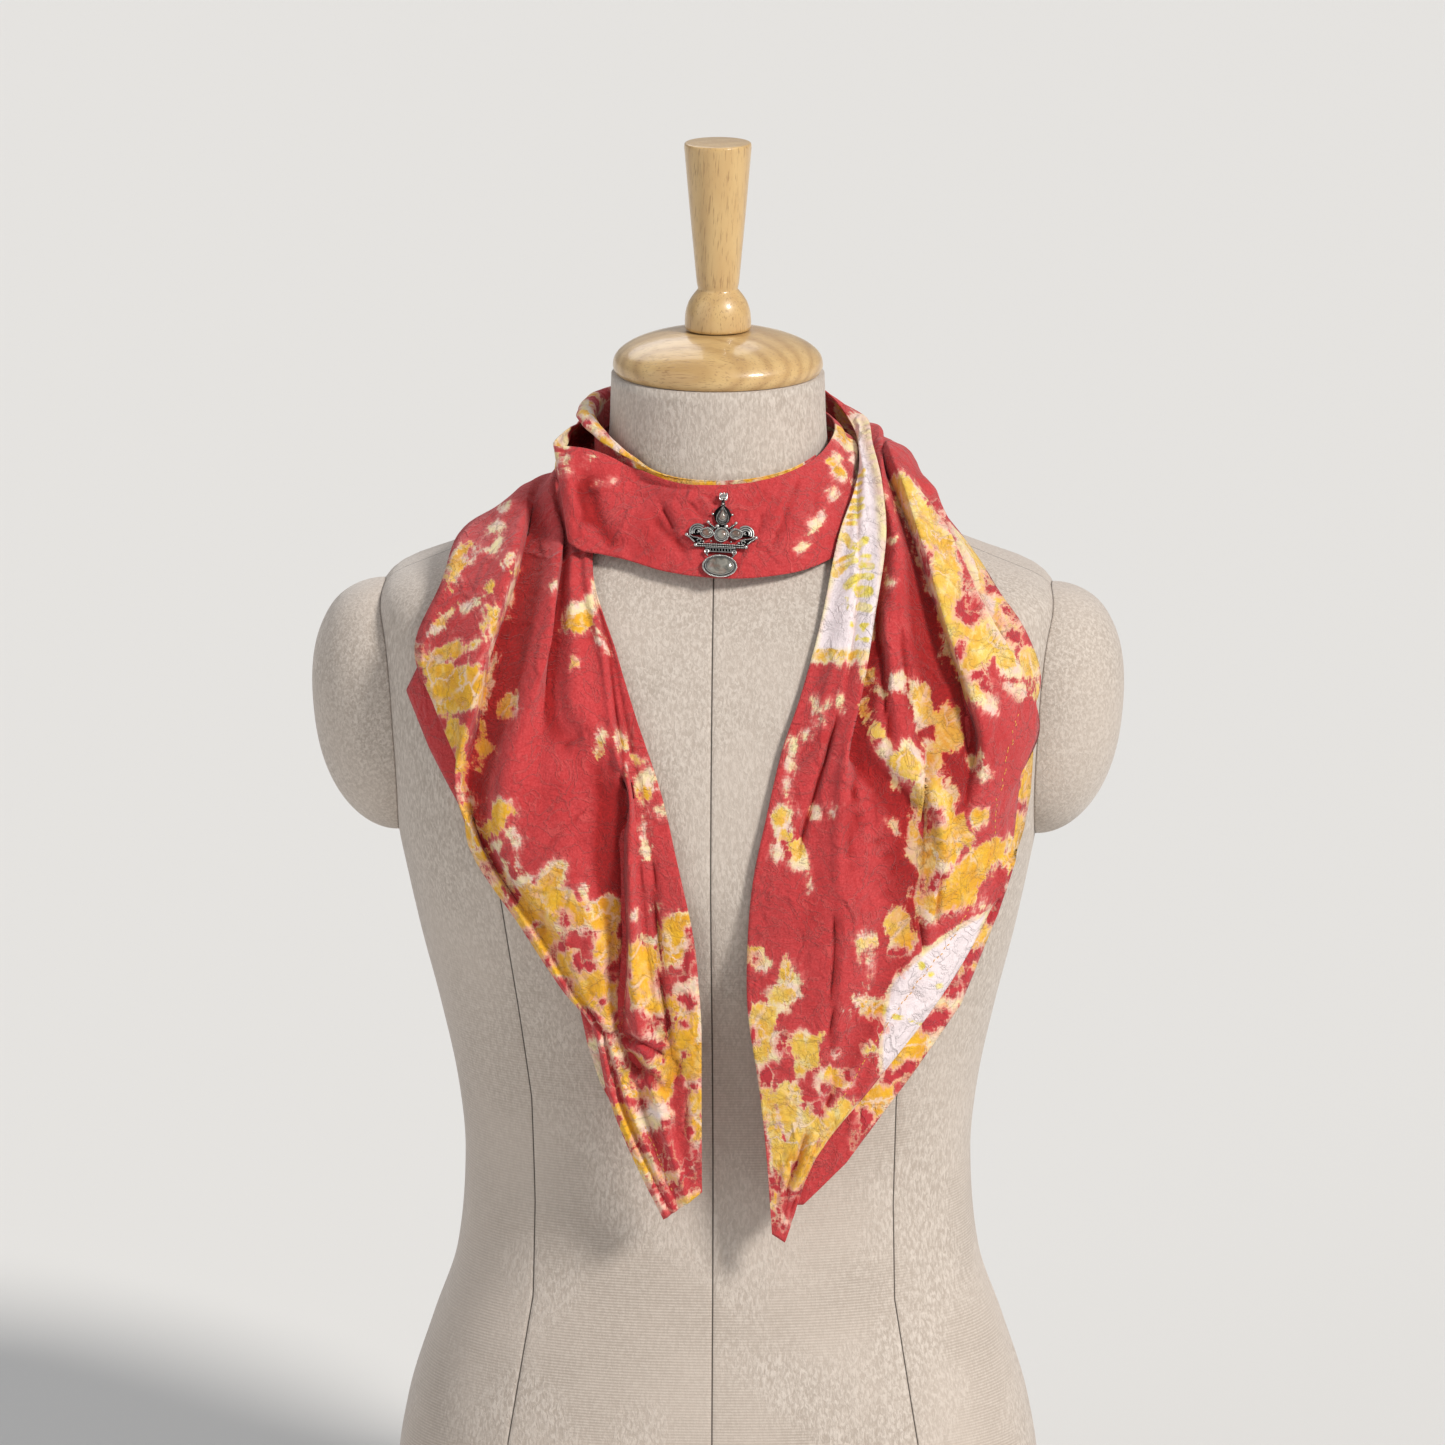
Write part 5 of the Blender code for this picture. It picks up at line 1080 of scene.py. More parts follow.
# The band, the second pass behind the neck and the right tail, which lies on top: one
# stretch of the folded square, smooth over the throat and falling in deep soft folds.
right_gold = [
    (75.9, 642.6, 1.3, 79.8, 643.7), (74.8, 638.1, 1.4, 78.7, 639.2), (73.7, 633.5, 1.4, 78.7, 634.7),
    (79.2, 559, 1.7, 82, 559), (80.3, 550.6, 1.4, 82, 550.6), (71, 574.3, 1.1, 71.5, 567.5, 0.9),
    (-78.6, 672.5, 1.7, -73.7, 677), (77.6, 663.5, 1.1, 79.2, 657.8),
    (75.4, 666.8, 2.2, 78.7, 659.5, 2.8, 81.4, 651, 2.2), (80.3, 646.5, 1.1, 80.3, 645.4),
    (73.7, 629, 1.5, 78.7, 630.2), (72.6, 624.5, 1.5, 79.2, 625.6), (71.5, 620, 1.5, 78.1, 621.1),
    (71, 616, 1.5, 76.5, 616.6, 1.3), (69.9, 608.7, 2.1, 73.7, 603.6), (75.9, 602.5, 2, 80.9, 607, 2.1),
    (66, 595.2, 2, 73.7, 598, 1.8), (64.9, 587.8, 2.5, 70.4, 592.3, 2.1),
    (70.4, 592.3, 2, 76.5, 595.7, 1.5), (71.5, 581, 2.5, 75.9, 585.6, 2), (79.2, 598, 1.3, 83.6, 597.4),
    (78.7, 592.9, 1.8, 84.7, 591.8), (77.6, 586.7, 2, 84.7, 586.1, 1.8), (77, 578.2, 3.3, 82.5, 577.7),
    (78.1, 569.2, 2.8, 82.5, 568.1, 2.5), (73.7, 559.6, 1.7, 73.7, 558.5), (80.3, 557.1, 1.3, 80.3, 556.4),
    (76.5, 552, 1.3, 76.5, 551.4), (68.8, 569.8, 1.1), (57.2, 542.7, 2.8, 68.2, 541.5),
    (75.9, 542.7, 2.5, 79.8, 542.1, 2.2), (84.2, 532.5, 3.3, 84.2, 529.1), (79.7, 513.8, 3.3, 81.5, 507.2),
    (86.5, 500.8, 3.3, 87.4, 497.6), (111.8, 519.5, 3.9, 112.6, 515), (115.7, 512.2, 1.7, 116.5, 503.2),
    (124.5, 506.5, 7.7, 126.4, 495.3),
    (100.7, 638.1, 6.1, 111.7, 618.3, 6.1, 119.9, 604.2, 7.2, 127.6, 578.8, 8.2, 134.2, 550.6, 8.2,
     141.4, 522.3, 7.2),
    (141.9, 560.7, 6.6, 146.9, 544.9), (155.1, 573.1, 4.4, 162.3, 550.6),
    (130.4, 621.1, 2.8, 141.4, 602.5, 5, 150.7, 581.6), (171.1, 541.5, 5, 172.2, 534.8),
    (173.3, 525.7, 2.2, 173.3, 519), (156, 544.2, 4.4, 157.5, 540), (33, 450.7, 5, 33, 449.5),
    (37.4, 441.6, 2.8, 37.4, 440.5), (42.6, 433.1, 3.3, 43.2, 429.8), (104, 480, 7.7, 104, 477.8),
    (109.5, 491.3, 2.2, 109.5, 487.9), (112.2, 465.3, 3.3, 112.2, 457.4), (119.8, 470.8, 3.9, 122.3, 458.7),
    (123.9, 440.2, 6.6, 126.9, 431.7), (132.8, 449.5, 5, 134.5, 439.4), (140.8, 482.8, 2.8, 140.8, 481.7),
    (141.4, 451.2, 3.3), (155.1, 434.9, 4.4, 144.1, 425.3, 7.7, 133.1, 408.3, 9.4),
    (130.4, 403.8, 6.6, 119.4, 401, 5), (158.2, 428.5, 3.3, 156.5, 422), (112.2, 408.3, 5, 112.2, 406.1),
    (98.5, 392.5, 6.6, 98.5, 388), (104, 381.8, 3.9, 104, 379.5), (83.1, 380.1, 3.3, 80.9, 380.1),
    (111.5, 367.6, 2.2, 111.9, 366.6), (117.2, 362, 1.9), (121.6, 355.3, 2.2),
    (96.3, 338.3, 1.2, 101.8, 337.2, 1.3), (104.5, 336.1, 1.1, 112.2, 333.8), (20.4, 375, 4.4, 20.4, 369.4),
    (38, 366, 4.4, 38, 362.6), (35.2, 350.2, 5, 34.1, 350.2), (25.3, 336.6, 7.7, 25.3, 334.4),
    (22, 328.2, 6.6, 22, 319.1), (42.2, 324.1, 5.5, 43.6, 321), (51.6, 317.3, 5, 49.7, 312),
    (45.1, 309, 5, 44, 309), (37.4, 324.8, 2.8, 37.4, 322.5), (53.9, 325.9, 2.2, 53.9, 323.7),
    (62.2, 304.5, 3.9, 62.2, 298.8), (68.8, 303.3, 3.3, 68.8, 301.1), (84.7, 319.1, 2.8, 83.6, 319.1),
    (86.9, 342.3, 4.4, 84.7, 342.3), (80.9, 346.2, 2.2, 78.7, 346.2), (25.9, 302.2, 4.4, 36.9, 245.8),
    (38, 295.4, 7.7, 45.1, 262.7, 7.2), (53.4, 282.4, 7.2, 48.4, 262.7, 6.6), (68.8, 287.5, 5, 57.2, 262.7),
    (46.6, 251.1, 4.4, 43.6, 242.6), (31.9, 239.5, 2.2, 31.9, 223.7),
    (116.6, 489.6, 2.8, 119.9, 465.9, 3.3), (111.7, 460.3, 3.3, 110, 437.7),
    (125.4, 460.3, 3.3, 130.9, 434.9, 3.9), (115.5, 426.4, 4.4, 115.5, 402.7),
]
right_pale = [
    (76.5, 669.1, 1.7, 79.8, 655.6, 3.3, 82.5, 642.6, 5), (-80.3, 671.4, 2.8, -71.5, 679.3),
    (91.3, 658.4, 0.9, 104.5, 648.8), (86.8, 662.7, 2.2, 88.2, 659.7),
    (73.7, 669.1, 2.8, 81.4, 651, 4.4, 85.8, 629.6, 5), (86.2, 661.1, 2.2, 87.7, 656.8),
    (96.8, 654.6, 1.7, 94.7, 655.4), (90.8, 665.1, 1.7, 91.9, 661.9),
    (77, 663.5, 2.2, 82.5, 632.4, 6.1, 79.2, 612.1, 9.9, 76.5, 589.5, 12.1, 71.5, 561.9),
    (61.1, 550.6, 6.1, 75.4, 548.9), (85.8, 660.1, 1.4, 91.9, 650.5), (91.3, 658.4, 0.5, 104.5, 648.8),
    (91.3, 520.8, 1.9, 88, 522.8), (96.7, 605.9, 0.7, 91.4, 605.9), (96.2, 583.1, 1.4, 94.1, 582.4),
    (101, 527.4, 4.1, 99.3, 527.4), (103.6, 626.7, 5.5, 104.4, 624.6), (112.9, 599.6, 5, 113.8, 596.3),
    (118.2, 586.6, 5, 119.5, 578.9), (122.1, 627.9, 1.7, 134.2, 607, 4.4, 146.9, 578.8, 6.1, 159.5, 550.6),
    (149.6, 561.9, 4.4, 160.6, 533.6), (164.6, 520.7, 3.3, 158.9, 524), (122.7, 625.4, 1.4, 122.7, 621.4),
    (150, 515.5, 4.4, 143.8, 517.9), (136.4, 581, 2.2, 136.4, 574.3), (54.9, 516.2, 1, 55.9, 510.4),
    (61, 514.8, 1.4, 60, 512.9), (57.6, 509.4, 0.6, 57.6, 503.7), (47.9, 498.5, 0.7, 47.9, 495.4),
    (67.1, 517.5, 0.9, 67.1, 511.4), (41.3, 493.8, 2.5, 41.3, 488.8), (39.6, 480.9, 1.9, 39.6, 476.9),
    (38.5, 473.1, 0.7, 38.5, 463.2), (34.7, 450.1, 6.6, 34.7, 445.6), (32.4, 434.4, 1.4, 33.6, 428.5),
    (44.6, 426.8, 4.4, 45.7, 423.7), (48.5, 417.9, 1.4, 51.6, 410), (53.9, 455.8, 0.9, 55.6, 451.1),
    (64.5, 456.2, 0.9, 62.1, 451.9), (91.8, 492, 2.5, 93.1, 488.3), (106.7, 485.7, 7.2, 106.7, 482.3),
    (97.9, 474.4, 2.8, 97.9, 469.8), (113.9, 472.1, 5, 115, 459.7), (97.2, 447.1, 1, 99.8, 440.6),
    (107.8, 435.4, 3.9, 107.8, 428.6), (122.1, 428.6, 5.5, 122.1, 424.1), (125.9, 470.7, 2.8, 129.3, 461.1),
    (140.8, 481.7, 3.9), (145.8, 478.9, 1.7, 145.8, 474.4), (140.8, 450.7, 3.9, 140.8, 449.5),
    (121, 395.9, 3.3, 112.2, 395.9), (113.9, 414, 5, 113.9, 410.6), (101.8, 377.8, 5, 98.5, 377.8),
    (82.5, 381.2, 4.4, 81.4, 381.2), (79.2, 376.7, 0.6, 80.3, 368.8, 0.3),
    (83.1, 379, 0.6, 83.6, 354.1, 0.4), (146.8, 400.7, 2.8, 145.8, 400.2), (24.2, 367.7, 4.4, 23.1, 367.7),
    (39.6, 357, 6.6, 39.6, 354.7), (35.2, 342.8, 3.3, 30.8, 342.8), (31.4, 326.5, 4.4, 31.4, 317.4),
    (46.8, 325.9, 3.9, 41.3, 325.9), (57.2, 303.3, 5, 57.2, 299.9), (68.8, 303.3, 4.4), (65.5, 316.9, 1.4),
    (84.7, 319.1, 3.3, 83.6, 319.1), (86.4, 344, 5, 83.1, 344), (71.5, 341.7, 1.7, 70.4, 341.7),
    (27, 287.5, 2.2, 29.1, 267.3), (44, 285.8, 4.4), (21.5, 313.5, 1.1, 27.5, 279.6, 1.4, 30.3, 245.8, 1.1),
    (35.2, 224.6, 2.5, 35.2, 222.9), (31.9, 240.7, 1.7, 31.9, 232.8), (53.5, 247.3, 2.2, 52.1, 244.2),
    (41, 242.6, 1.7, 38.2, 237.7), (27, 299.4, 4.4, 25.9, 299.4), (107.3, 524, 2.8, 112.2, 503.2, 3.3),
    (115, 493, 3.9, 119.9, 467, 4.4), (112.2, 461.9, 4.4, 110, 436, 5), (124.9, 461.9, 4.4, 130.4, 436, 5),
    (115, 430.9, 6.1, 115, 397),
]
right_red = [
    (114.4, 600.5, 1.4, 114.4, 595.5), (115.5, 589.7, 1.9), (137, 568.6, 6.1, 137, 566.4),
    (136.4, 585.3, 1.4, 136.4, 579.1), (152.8, 523.6, 3.9, 147.6, 525.6), (158.8, 517.5, 3.9, 155.9, 519.2),
    (143.6, 530.8, 1.7, 142.5, 530.8), (119.6, 633.3, 1.1, 122.5, 625.9), (125.4, 617.2, 2.2, 124.3, 617.2),
    (125, 625.5, 0.7, 125.9, 620.2), (149.1, 587.8, 1.2), (155.5, 577.3, 1.1, 151.5, 579.2),
    (159.4, 567.4, 2.2, 160.8, 562), (164.3, 551.1, 2.2, 162.4, 552.3), (169.4, 554.2, 0.9, 169.4, 551.5),
    (133.1, 548.9, 0.6, 133.1, 541), (19.8, 372.5, 0.8, 19.8, 368.5), (20.9, 355.8, 4.4, 19.8, 355.8),
    (99.6, 368.8, 5, 96.3, 368.8), (37.4, 327.3, 2.5, 37.4, 326.8), (36.3, 323.4, 1.9, 36.3, 318.3),
    (36.9, 308.1, 2.5, 36.9, 306.9), (25.9, 304.4, 2.8, 27, 301.2), (51.2, 303.6, 1.9, 51.2, 299.7),
    (54.8, 289.2, 1.9, 54.2, 289.2), (60.5, 297.1, 1.4, 58.9, 297.1), (55, 285.7, 1.2, 55, 284.8),
    (79.8, 306.7, 5, 75.4, 306.7), (82.4, 299.2, 3.3, 77.2, 297.3), (31.7, 247.2, 1.9, 31.7, 243.2),
    (38.4, 234.9, 2.8, 36.5, 229.6), (44.2, 234.2, 3.3, 41.7, 227.9), (36.3, 214.7, 3.9, 35.2, 214.7),
    (31.9, 225.4, 1.1, 31.9, 220.9), (177.1, 502, 6.6, 177.1, 497.5), (120.6, 452.3, 1.7, 121.5, 449),
    (135.5, 396.2, 1.4, 127.4, 394.5), (111.1, 415.4, 0.8, 111.1, 410.3), (120.2, 417.1, 0.7, 118.5, 410.8),
    (19.3, 329.1, 0.8, 19.3, 325), (86.9, 332.1, 3.3, 83.6, 332.1), (84.2, 305, 2.8, 83.1, 305),
    (50.9, 242.6, 1.7, 48.2, 237.7), (42.9, 336.1, 3.3), (66, 323.1, 2.2, 66, 320.8),
    (75.4, 325.9, 3.3, 75.4, 323.7), (92.3, 367.5, 2.8, 91.5, 366.8),
]
right_creases = [
    (-2.4, 2.2, [(88.6, 576), (88.6, 554.5), (91.3, 541), (93, 520.7), (94.6, 502.6), (95.2, 482.8)]),
    (1.4, 2, [(90.8, 576), (91.3, 554.5), (94.1, 541), (95.2, 520.7), (96.8, 502.6)]),
    (-1, 1.2, [(77, 646.5), (77.6, 608.7), (77.6, 586.7), (73.7, 543.8), (68.8, 515)]),
    (0.8, 1.2, [(75.4, 608.7), (75.4, 586.7), (70.4, 543.8), (66, 515), (57.2, 482.3)]),
    (-2.4, 1.3, [(67.1, 515), (58.9, 482.3), (52.3, 460.3), (47.3, 442.2), (42.9, 423.6)]),
    (-1.6, 1.1, [(66, 403.8), (64.4, 384.1), (63.8, 358.6), (63.3, 336.1), (61.6, 311.2)]),
    (0.9, 1.6, [(68.2, 409.5), (67.7, 386.9), (67.1, 369.9), (66, 336.1), (64.9, 313.5)]),
    (-1.6, 1.1, [(99.6, 561.3), (102.9, 539.3), (106.2, 516.7), (109.5, 493.6), (113.3, 484.5)]),
    (0.6, 1.4, [(96.3, 550.6), (100.1, 522.3), (104.5, 495.3)]),
    (-3.2, 1.7, [(117.2, 496.9), (116.1, 477.2), (115, 459.1), (110, 421.3), (107.8, 401.5),
        (108.4, 385.7)]),
    (1, 1.8, [(112.2, 477.2), (111.1, 459.1), (106.2, 423.6), (104, 403.8)]),
    (-1.8, 1, [(111.7, 393.6), (113.3, 381.2), (113.9, 372.8)]),
    (-0.9, 0.9, [(117.7, 464.8), (118.8, 449), (120.5, 430.3)]),
    (-1.8, 1.1, [(124.9, 420.7), (122.1, 403.8), (120.5, 386.9)]),
    (1.6, 2, [(102.9, 643.7), (124.3, 612.1), (146.3, 564.1), (161.7, 538.7), (172.2, 512.2)]),
    (-1.2, 1.6, [(106.7, 643.1), (128.7, 612.1), (149.6, 566.4), (165, 540.4)]),
    (1, 2, [(68.2, 680.4), (78.1, 677), (90.8, 661.2), (104, 649.4), (127.6, 623.9)]),
    (-1, 1.4, [(72.6, 683.8), (84.7, 672.5), (97.4, 658.9), (113.9, 642)]),
    (-0.8, 1.4, [(102.9, 658.9), (119.4, 637.5), (131.5, 621.1)]),
    (-0.9, 0.9, [(69.9, 460.3), (83.6, 443.3), (94.6, 426.4), (104, 410.6)]),
    (-0.9, 1, [(72.6, 471.5), (79.2, 453.5), (73.7, 432)]),
    (0.8, 1.1, [(84.7, 449), (78.1, 432), (69.9, 421.9)]),
    (-0.45, 0.9, [(71.5, 426.4), (86.9, 415.1), (97.9, 400.4)]),
    (0.4, 0.9, [(89.1, 460.3), (95.7, 443.3), (92.4, 426.4)]),
    (-1.3, 1.6, [(49.5, 277.4), (45.1, 259.9), (38.5, 242.9), (36.3, 231.6)]),
    (0.9, 1.6, [(53.4, 275.1), (48.4, 257), (42.9, 242.4)]),
    (-1.2, 1, [(57.2, 262.7), (50.6, 250.3), (44, 236.7), (39.6, 227.7)]),
    (-0.8, 1, [(63.3, 313.5), (63.8, 299.4), (59.4, 286.4), (64.9, 284.1)]),
    (-0.7, 0.9, [(42.9, 217.5), (38.5, 224.3)]),
    (-0.7, 1.3, [(135.9, 550.6), (141.4, 532.5), (149.6, 516.7)]),
    (0.6, 1.6, [(130.4, 595.7), (136.4, 573.1), (144.1, 550.6)]),
    (-0.7, 1.4, [(141.4, 595.7), (150.7, 573.1), (158.4, 550.6)]),
    (-0.5, 1.1, [(155.1, 505.4), (149.6, 482.8), (146.9, 460.3)]),
    (0.5, 1.6, [(138.6, 494.1), (139.7, 460.3), (137.5, 426.4)]),
    (-1.6, 2.2, [(134.2, 550.6), (137.5, 516.7), (139.7, 482.8), (136.4, 454.6)]),
    (0.4, 1.2, [(39.6, 482.8), (33, 443.3), (28.6, 403.8)]),
    (1.5, 1.8, [(70.4, 491.3), (68.2, 465.9), (66.6, 443.3), (66, 420.7), (67.7, 403.8)]),
    (-1.1, 2.2, [(77, 488.5), (74.3, 460.3), (72.6, 432), (72.1, 409.5)]),
    (0.7, 1, [(12.1, 369.9), (15.4, 341.7), (18.7, 313.5)]),
    (-0.4, 1, [(51.7, 415.1), (48.4, 381.2), (45.1, 347.4)]),
    (-0.4, 0.9, [(102.9, 355.8), (113.9, 347.4), (118.8, 342.8)]),
    (0.35, 0.8, [(100.1, 369.9), (110, 361.5)]),
]
band_gold = [
    (-80.8, 669.7, 2.8, -80.8, 666.3), (-88, 660.6, 1.7, -88, 655), (71.5, 664.6, 2.8), (65.5, 645.4, 2.2),
    (62.2, 651.6, 1.1, 62.2, 650.5), (-83.6, 668.5, 1.7, -78.1, 673.1), (-74.8, 676.4, 1.7, -72.6, 678.1),
    (68.8, 668.5, 3.3, 67.7, 668.5),
]
band_pale = [
    (-85.8, 666.8, 5, -85.8, 662.3), (-89.1, 657.3, 2.8, -89.1, 649.4),
    (69.9, 666.8, 3.9, 75.9, 651, 2.2, 77, 640.9, 1.1), (64.9, 646, 3.3), (68.2, 643.1, 2.2),
    (63.3, 633.8, 0.9, 63.3, 631.1), (55.8, 618.4, 2.2, 53.1, 614.8), (57.2, 620.6, 1.7),
    (51.3, 612.5, 0.7, 47.7, 607.2), (46.7, 604.7, 1.7, 45.8, 602.6), (-85.2, 656.1, 0.6, -89.6, 656.1),
    (-83.9, 653.9, 0.6, -84.4, 647.1), (-68.4, 655, 0.6, -71.2, 651.6), (-66.4, 639.8, 0.4, -67.7, 639.8),
    (-58.3, 640.3, 0.7), (66, 652.7, 1.1, 63.8, 652.7), (-89.1, 653.3, 1.1, -89.1, 648.8),
    (-84.7, 667.4, 2.8, -78.6, 672.5, 2.8, -72, 678.7), (67.7, 668, 4.4, 66.6, 668),
    (72.6, 660.6, 3.3, 76.5, 649.4, 2.2, 77, 637.5, 1.7),
]
band_creases = [
    (-1.6, 5, [(-78.1, 642.6), (-69.8, 630.7), (-63.8, 613.2), (-53.3, 599.7)]),
    (-1.2, 3, [(-37.4, 621.1), (-27.5, 610.4), (-15.4, 597.4)]),
    (1, 2.6, [(-84.1, 657.3), (-81.9, 635.8), (-76.4, 616)]),
    (-1.4, 6, [(-69.3, 646.5), (-73.7, 629.6), (-71.5, 612.7)]),
    (-0.9, 1.6, [(-31.9, 626.2), (-27.5, 619.4), (-24.2, 612.7)]),
    (0.6, 2.4, [(-27.5, 629.6), (-22, 620.6), (-18.7, 612.7)]),
    (-0.8, 1.4, [(-17.6, 629.6), (-12.1, 623.9), (-7.1, 617.2)]),
    (-0.5, 1.6, [(-34.1, 635.2), (-27.5, 618.3), (-18.7, 600.8)]),
    (-0.9, 0.8, [(24.8, 622.8), (23.7, 616), (22, 608.7)]), (-0.7, 0.8, [(33, 613.8), (29.7, 602.5)]),
    (0.7, 2.6, [(41.8, 646.5), (35.2, 629.6), (27.5, 605.9)]),
    (-0.9, 2.4, [(45.7, 644.3), (39.1, 627.3), (31.9, 604.2)]),
    (-0.4, 0.6, [(15.4, 623.9), (25.3, 635.2), (31.9, 642)]),
    (-0.35, 0.6, [(11, 630.7), (20.9, 640.9), (26.4, 646.5)]),
    (-0.7, 1.2, [(-5.5, 633), (-3.3, 628.5), (0, 626.2)]),
    (0.6, 1, [(-9.9, 631.9), (-6.6, 626.2), (-2.2, 621.7)]),
    (-0.6, 1.6, [(-42.9, 640.9), (-25.3, 636.4), (-9.9, 635.8)]), (-1, 1.2, [(-84.7, 658.9), (-83.6, 646)]),
    (-0.5, 2.2, [(56.1, 646.5), (53.4, 629.6), (57.2, 607)]),
    (0.5, 2, [(64.9, 657.8), (68.2, 640.9), (66, 623.9)]),
    (-0.5, 1.2, [(9.4, 598), (20.9, 603.6), (31.9, 598)]),
]
# Where the yellow is deep golden, and where it is a pale lemon.
golden_strokes = [(152, 462, 22, 132, 400, 14), (60, 250, 20, 40, 230), (110, 380, 6, 60, 300)]
lemon_strokes = [(180, 620, 12, 200, 560, 16, 205, 520, 14), (84, 640, 8, 80, 560, 16)]
right_steps = [6, 13, 7, 11, 11, 9, 10, 12]
tail_first = band_first + len(band) + len(nape_outer)
right_points, right_ways, right_places, right_hollow_shade = strip_of(
    whole_run, right_steps, 1.7, band_first, len(whole_run) - 1
)
band_rows = right_places < band_first + len(band) - 1
on_band = band_rows[:, None]
right_nape_rows = band_first + len(band) - 1.4, tail_first + 1.6
tail_marks, right_seen = dyed(right_points, right_places, *right_nape_rows, right_gold, right_pale, right_red)
band_marks = dye_marks(right_seen, band_gold, band_pale, [])
right_marks = {mark: np.where(on_band, band_marks[mark], tail_marks[mark]) for mark in tail_marks}
# The innermost fold is bleached right across, down to a straight edge.
bleached_strokes = [(77, 672, 7, 81, 641, 12, 78, 596, 18, 70, 545, 22)]
bleached_foot = 538.4
bleached = np.minimum(stroke_depth(right_seen, bleached_strokes), right_seen[..., 1] - bleached_foot)
innermost = (np.arange(right_seen.shape[1]) >= sum(right_steps[:6])) & ~on_band
right_marks["pale"] = np.where(innermost, np.maximum(right_marks["pale"], bleached), right_marks["pale"])
# By the slanting hem the folded cloth stayed undyed in a wedge, with crisp sides.
wedge_strokes = [(147, 396, 2.5, 136, 383, 8.5, 124, 368, 13.5, 110, 350, 18, 100, 328, 12.5, 92, 308, 4.5)]
wedge = np.where(on_band, far_outside, stroke_depth(right_seen, wedge_strokes))
right_marks["pale"] = np.maximum(right_marks["pale"], wedge * 2.6 - 1)
lower_skins = [form_skin, pad_skins["right"]]
lower_skins += [skin_of(piece) for piece in (under_right, left_stretch, inner_fold)]
right_points = laid_on(right_points, lower_skins, right_ways)
# Where the right tail passes over the band again, it is laid on the band's own rows.
band_grid = right_points[band_rows]
count = band_grid.shape[1]
corners = [Vector(point) for point in band_grid.reshape(-1, 3)]
faces = [
    (k * count + c, k * count + c + 1, (k + 1) * count + c + 1, (k + 1) * count + c)
    for k in range(len(band_grid) - 1) for c in range(count - 1)
]
band_skin = BVHTree.FromPolygons(corners, faces)
over_row = tail_first - 1.5
over = np.flatnonzero(right_places > over_row)
lifted = laid_on(right_points[over], [band_skin], right_ways[over])
ease = np.clip(right_places[over] - over_row, 0, 1)[:, None, None]
right_points[over] = right_points[over] * (1 - ease) + lifted * ease
seen = as_seen(right_points)
tail_crease_row, band_crease_rows = tail_first + 0.5, (band_first + 2, band_first + 12.5)
tail_crease_strength, tail_ease, band_ease = 1.9, 0.8, 0.5
tail_share = np.clip((right_places - tail_crease_row) / tail_ease, 0, 1)[:, None]
band_start = np.clip((right_places - band_crease_rows[0]) / band_ease, 0, 1)
band_end = np.clip((band_crease_rows[1] - right_places) / band_ease, 0, 1)
band_share = (band_start * band_end)[:, None]
creases = crease_height(seen, right_creases) * tail_share * tail_crease_strength
creases = creases + crease_height(seen, band_creases) * band_share * crease_strength
right_points = right_points + right_ways * creases[..., None]
# Painted shade in the hollows between folds, deepened along the creases' troughs and lessened on their ridges.
right_marks["hollow_shade"] = np.clip(right_hollow_shade * tail_share - creases * crease_shade, 0, 1)
warm = np.clip(stroke_depth(seen, golden_strokes) / 8 + 0.5, 0, 1)
lemon = np.maximum(np.clip(stroke_depth(seen, lemon_strokes) / 6 + 0.5, 0, 1), 0.5 * (1 - warm)) * ~on_band
right_marks["lemon"] = np.maximum(lemon, np.clip(wedge / 3 + 0.5, 0, 1))
right_stretch = scarf_sheet(
    "scarf_right_stretch", right_points, right_marks,
    ["scarf_band", "scarf_nape_outer", "scarf_tail_right"],
)

# The brooch: a cast silver-coloured alloy pin, pinned through the band's front. Cups,
# rope rims, grains and wire scrolls are soldered side by side, and oxidised dark in the
# hollows. It is drawn flat, across and up from its middle stone, then bent and seated.
brooch_seat = Matrix((
    (0.999, 0.0436, 0.0, 4.3), (-0.0185, 0.4237, -0.9056, -79.725), (-0.0395, 0.9047, 0.4241, 626.22),
    (0, 0, 0, 1),
))
brooch_bend = 120
rope_lean, rope_grain = 0.6, (1.35, 0.8)
cups = [  # shape, across, up, half width, half height, turn, stone's width and height share
    ("round", 0, 0, 3.85, 3.85, 0, 0.70, 0.70), ("leaf", -7.95, 0.8, 3.7, 2.8, -8, 0.68, 0.66),
    ("leaf", 7.95, 0.8, 3.7, 2.8, 8, 0.68, 0.66), ("drop", 0, 10.8, 3.5, 4.6, 0, 0.62, 0.62),
    ("round", 0, -17.3, 9.2, 6.0, 0, 0.80, 0.77),
]


def outline(shape, half_width, half_height, count, across=0, up=0, turn=0.0):
    points, lean = [], math.radians(turn)
    for k in range(count):
        angle = 2 * math.pi * k / count
        c, s = math.cos(angle), math.sin(angle)
        if shape == "round":
            u, v = half_width * c, half_height * s
        elif shape == "leaf":
            u, v = half_width * c, half_height * s * abs(s) ** 0.35
        else:
            u, v = -half_width * s * math.sin(angle / 2) ** 1.2, half_height * c
        spot = across + u * math.cos(lean) - v * math.sin(lean), up + u * math.sin(lean) + v * math.cos(lean)
        points.append(spot)
    return points


